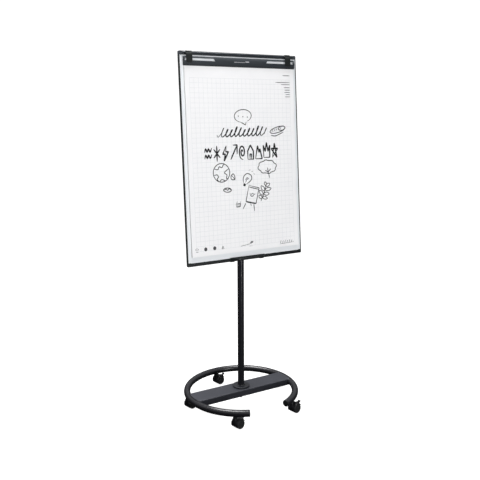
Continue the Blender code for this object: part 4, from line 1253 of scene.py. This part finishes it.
def castor_hood():
    """The castor's body: a guard over both wheels, a fin between them, lever ears, a boss and a stem."""
    axle = (TRAIL, WHEEL_RADIUS)
    half = WHEEL_OUTER_Y + 0.0006
    loops = []
    for y, drop in ((-half, 0.0011), (-half + 0.0004, 0.0005), (-half + 0.0014, 0.0), (half - 0.0014, 0.0),
                    (half - 0.0004, 0.0005), (half, 0.0011)):
        outline = arc(axle, GUARD_RADIUS - drop, GUARD_START, GUARD_END, 48)
        outline += arc(axle, 0.008, GUARD_END, GUARD_START + 360, 24)
        loops.append([along_y(a, b, y) for a, b in outline])
    hood = loft(loops)
    profile = near(0, BOSS_TOP, (0, -27.5), (10.6, -27.5), (10.6, -3.5), (10, -1), (9.4, 0), (5, 0))
    profile += near(0, STEM_TOP, (5, -1), (4, 0), (0, 0))
    hood = join(hood, lathe(profile, 48))
    for side in (-1, 1):
        fin, outside = side * 0.004, side * 0.030
        space = lathe([(0, fin), (GUARD_BORE, fin), (GUARD_BORE, outside), (0, outside)], 72, along_y)
        hood = cut(hood, moved(space, (TRAIL, 0.0, WHEEL_RADIUS)))
    for side in (-1, 1):
        low, high = sorted((side * (LEVER_HALF + 0.0004), side * (LEVER_HALF + 0.0034)))
        reach = ((-9, 0.0276), (-7.5, 0.0322), (-5, 0.0339), (-2, 0.0345),
                 (2, 0.0345), (5, 0.0339), (7.5, 0.0322), (9, 0.0276))
        ear = [about_axle(radius, LEVER_ANGLE + turn) for turn, radius in reach]
        hood = join(hood, prism(ear, low, high, along_y))
    return hood


def twin_wheel():
    """Two wheels on one axle: soft tread edges, a sunk web with six ribs and a hub cap."""
    outer, rim, steps = WHEEL_OUTER_Y, WHEEL_RADIUS, 96
    bm = bmesh.new()
    profile = [(0.003, WHEEL_INNER_Y), *near(rim, WHEEL_INNER_Y, (-1.2, 0), (-0.3, 0.4), (0, 1.4))]
    profile += near(rim, outer, (0, -4), (-0.3, -2.4), (-1.2, -1), (-2.4, -0.2), (-3.4, 0))
    profile += near(0, outer, (19.2, 0), (18.8, -0.4), (18.4, -1.6), (17, -1.8))
    profile += near(0, outer, (10, -1.8), (8, -1.6), (7.6, -0.6), (7, 0), (4, 0), (0, -0.2))
    bores = []
    for side in (-1, 1):
        loops = []
        for radius, y in profile:
            ribbed = 0.0095 < radius < 0.0175
            loop = []
            for i, angle in enumerate(turns(steps) if radius else [0.0]):
                rib = 0.0010 if ribbed and i % 16 < 3 else 0.0
                loop.append((radius * math.cos(angle), side * (y + rib), radius * math.sin(angle)))
            loops.append(loop)
        bores.append(skin(bm, loops)[0])
    bridge(bm, *bores)
    return bm


def brake_lever():
    """A foot lever: a barrel on trunnions and a ridged paddle that reaches past the guard."""
    outline = arc((0, 0), 0.002, 80, 280, 20)
    outline += near(LEVER_LENGTH, 0, (-4, -1.2), (-1, -0.4), (0, 0.4), (0.4, 1.4))
    outline += near(LEVER_LENGTH, 0, (0.4, 2.6), (-0.2, 3.6), (-1.5, 4))
    for k in range(3):
        outline += near(LEVER_LENGTH - 0.0035 - 0.0022 * k, -0.0004 * k, (0.7, 3.6), (0, 2.8), (-0.7, 3.4))
    rise, run = math.sin(math.radians(LEVER_RISE)), math.cos(math.radians(LEVER_RISE))
    outline = [(x * run - z * rise, x * rise + z * run) for x, z in outline]
    lever = prism(outline, -LEVER_HALF, LEVER_HALF, along_y)
    trunnion = LEVER_HALF + 0.0028
    pin = lathe([(0, -trunnion), (0.0011, -trunnion), (0.0011, trunnion), (0, trunnion)], 20, along_y)
    return join(lever, pin)


def castor_socket():
    """The bush between castor and tube, for a castor at heading 0, in the ring's frame."""
    low, high = BOSS_TOP + GAP - RING_Z, SOCKET_RISE - TUBE_RADIUS
    profile = near(SOCKET_RADIUS, low, (-0.6, 0), (0, 0.6)) + [(SOCKET_RADIUS, high)]
    profile += [(0.0056, high), (0.0056, low)]
    bush = moved(lathe(profile, 56), (RING_RADIUS, 0.0, 0.0))
    return cut(bush, ring_tube((TUBE_RADIUS + GAP,), -5, 5, steps=12, sides=96))


def build_castors():
    hood, wheel = mesh_from(castor_hood()), mesh_from(twin_wheel())
    lever, socket = mesh_from(brake_lever()), mesh_from(castor_socket())
    axle = Matrix.Translation((TRAIL, 0.0, WHEEL_RADIUS))
    x, z = about_axle(LEVER_REACH, LEVER_ANGLE)
    pivot = Matrix.Translation((x, 0.0, z))
    for n in CASTORS:
        swivel = JOINTS[f"castor_{n}_swivel"]["pos_m"]
        heading = math.atan2(swivel[1] - COLUMN_Y, swivel[0])
        place = castor_matrix(n)
        piece(f"castor_{n}_seat", socket, "moulded", "base",
              axis_matrix(RING_Z) @ Matrix.Rotation(heading, 4, "Z"), f"castor_{n}_socket")
        piece(f"castor_{n}_body", hood, "castor", f"castor_{n}", place, f"castor_{n}_hood")
        piece(f"castor_{n}_twin_wheel", wheel, "wheel", f"wheel_{n}", place @ axle,
              f"castor_{n}_wheel")
        piece(f"castor_{n}_pedal", lever, "castor", f"brake_{n}", place @ pivot,
              f"castor_{n}_brake", bevel=0.0002)


# ---- Stage

def add_light(name, kind, location, target_z, power, **settings):
    """A light aimed at the column's axis at a height."""
    light = bpy.data.lights.new(name, kind)
    light.energy = power
    for key, value in settings.items():
        setattr(light, key, value)
    obj = in_scene(bpy.data.objects.new(name, light))
    way = Vector((0.0, COLUMN_Y, target_z)) - Vector(location)
    obj.matrix_world = Matrix.Translation(location) @ way.to_track_quat("-Z", "Y").to_matrix().to_4x4()
    return obj


def studio_lights():
    """A focused lamp on the board, and two softboxes for the column and the base."""
    lamp = add_light("board_lamp", "SPOT", (-3.1, -6.3, 1.9), 1.40, 900.0, spot_size=math.radians(17.0),
                     spot_blend=0.35, shadow_soft_size=0.3)
    lamp.visible_glossy = False
    add_light("strip", "AREA", (0.05, -3.4, 1.0), 0.6, 38.0, shape="RECTANGLE", size=0.30, size_y=2.2)
    add_light("overhead", "AREA", (-0.25, 0.45, 3.4), 0.3, 165.0, shape="RECTANGLE", size=1.9, size_y=1.9)


def pale_floor():
    """A plain pale floor that the camera sees; it throws no light back on the object."""
    paint = Paint("pale_floor", Roughness=0.9, Specular_IOR_Level=0.1)
    paint.colour(paint.ramp(paint.noise(3.0), (0.3, (0.28, 0.28, 0.28)), (0.7, (0.30, 0.30, 0.30))))
    paint.shader.inputs["Emission Color"].default_value = (1.0, 1.0, 1.0, 1.0)
    paint.shader.inputs["Emission Strength"].default_value = 0.97
    bm = bmesh.new()
    bm.faces.new([bm.verts.new(point) for point in ((-30, -30, 0), (30, -30, 0), (30, 30, 0), (-30, 30, 0))])
    mesh = mesh_from(bm, "floor")
    mesh.materials.append(paint.mat)
    floor = in_scene(bpy.data.objects.new("floor", mesh))
    floor.visible_diffuse = False
    floor.visible_glossy = False


def studio_world():
    """A white backdrop for the camera, and round the object a dim room that grows lighter upwards."""
    world = bpy.data.worlds.new("studio")
    bpy.context.scene.world = world
    world.use_nodes = True
    nodes, links = world.node_tree.nodes, world.node_tree.links
    nodes.clear()
    place = add_node(nodes, "ShaderNodeTexCoord")
    axes = add_node(nodes, "ShaderNodeSeparateXYZ")
    links.new(place.outputs["Generated"], axes.inputs[0])
    spread = add_node(nodes, "ShaderNodeMapRange", interpolation_type="SMOOTHSTEP")
    for socket, value in (("From Min", 0.05), ("From Max", 0.65), ("To Min", 0.03), ("To Max", 0.55)):
        spread.inputs[socket].default_value = value
    links.new(axes.outputs["Z"], spread.inputs["Value"])
    path = add_node(nodes, "ShaderNodeLightPath")
    light = add_node(nodes, "ShaderNodeBackground", Color=(1.0, 1.0, 1.0, 1.0))
    links.new(spread.outputs["Result"], light.inputs["Strength"])
    backdrop = add_node(nodes, "ShaderNodeBackground", Color=(1.0, 1.0, 1.0, 1.0), Strength=1.1)
    mix = add_node(nodes, "ShaderNodeMixShader")
    output = add_node(nodes, "ShaderNodeOutputWorld")
    sources = (path.outputs["Is Camera Ray"], light.outputs[0], backdrop.outputs[0])
    for source, socket in zip(sources, mix.inputs):
        links.new(source, socket)
    links.new(mix.outputs[0], output.inputs[0])


def camera():
    azimuth, distance, height = -30.04, 3.453, 1.6135
    pan, pitch, roll = -0.346, -8.04, -0.155
    data = bpy.data.cameras.new("camera")
    data.sensor_width = 36.0
    data.lens = 48.85
    data.shift_x, data.shift_y = -0.0090, -0.075
    obj = in_scene(bpy.data.objects.new("camera", data))
    turn = math.radians(azimuth)
    place = Vector((distance * math.sin(turn), COLUMN_Y - distance * math.cos(turn), height))
    obj.matrix_world = Matrix.Translation(place)
    for angle, axis in ((azimuth + pan, "Z"), (90 + pitch, "X"), (roll, "Z")):
        obj.matrix_world = obj.matrix_world @ Matrix.Rotation(math.radians(angle), 4, axis)
    bpy.context.scene.camera = obj


def build_stage():
    pale_floor()
    studio_world()
    studio_lights()
    camera()
    bpy.context.scene.view_settings.view_transform = "Standard"


def main():
    build_base()
    build_head()
    build_board()
    build_pad()
    build_drawing()
    build_clamp()
    piece("tray", pen_tray(), "moulded", "board", board_matrix(), "pen_tray")
    build_castors()
    build_stage()


main()
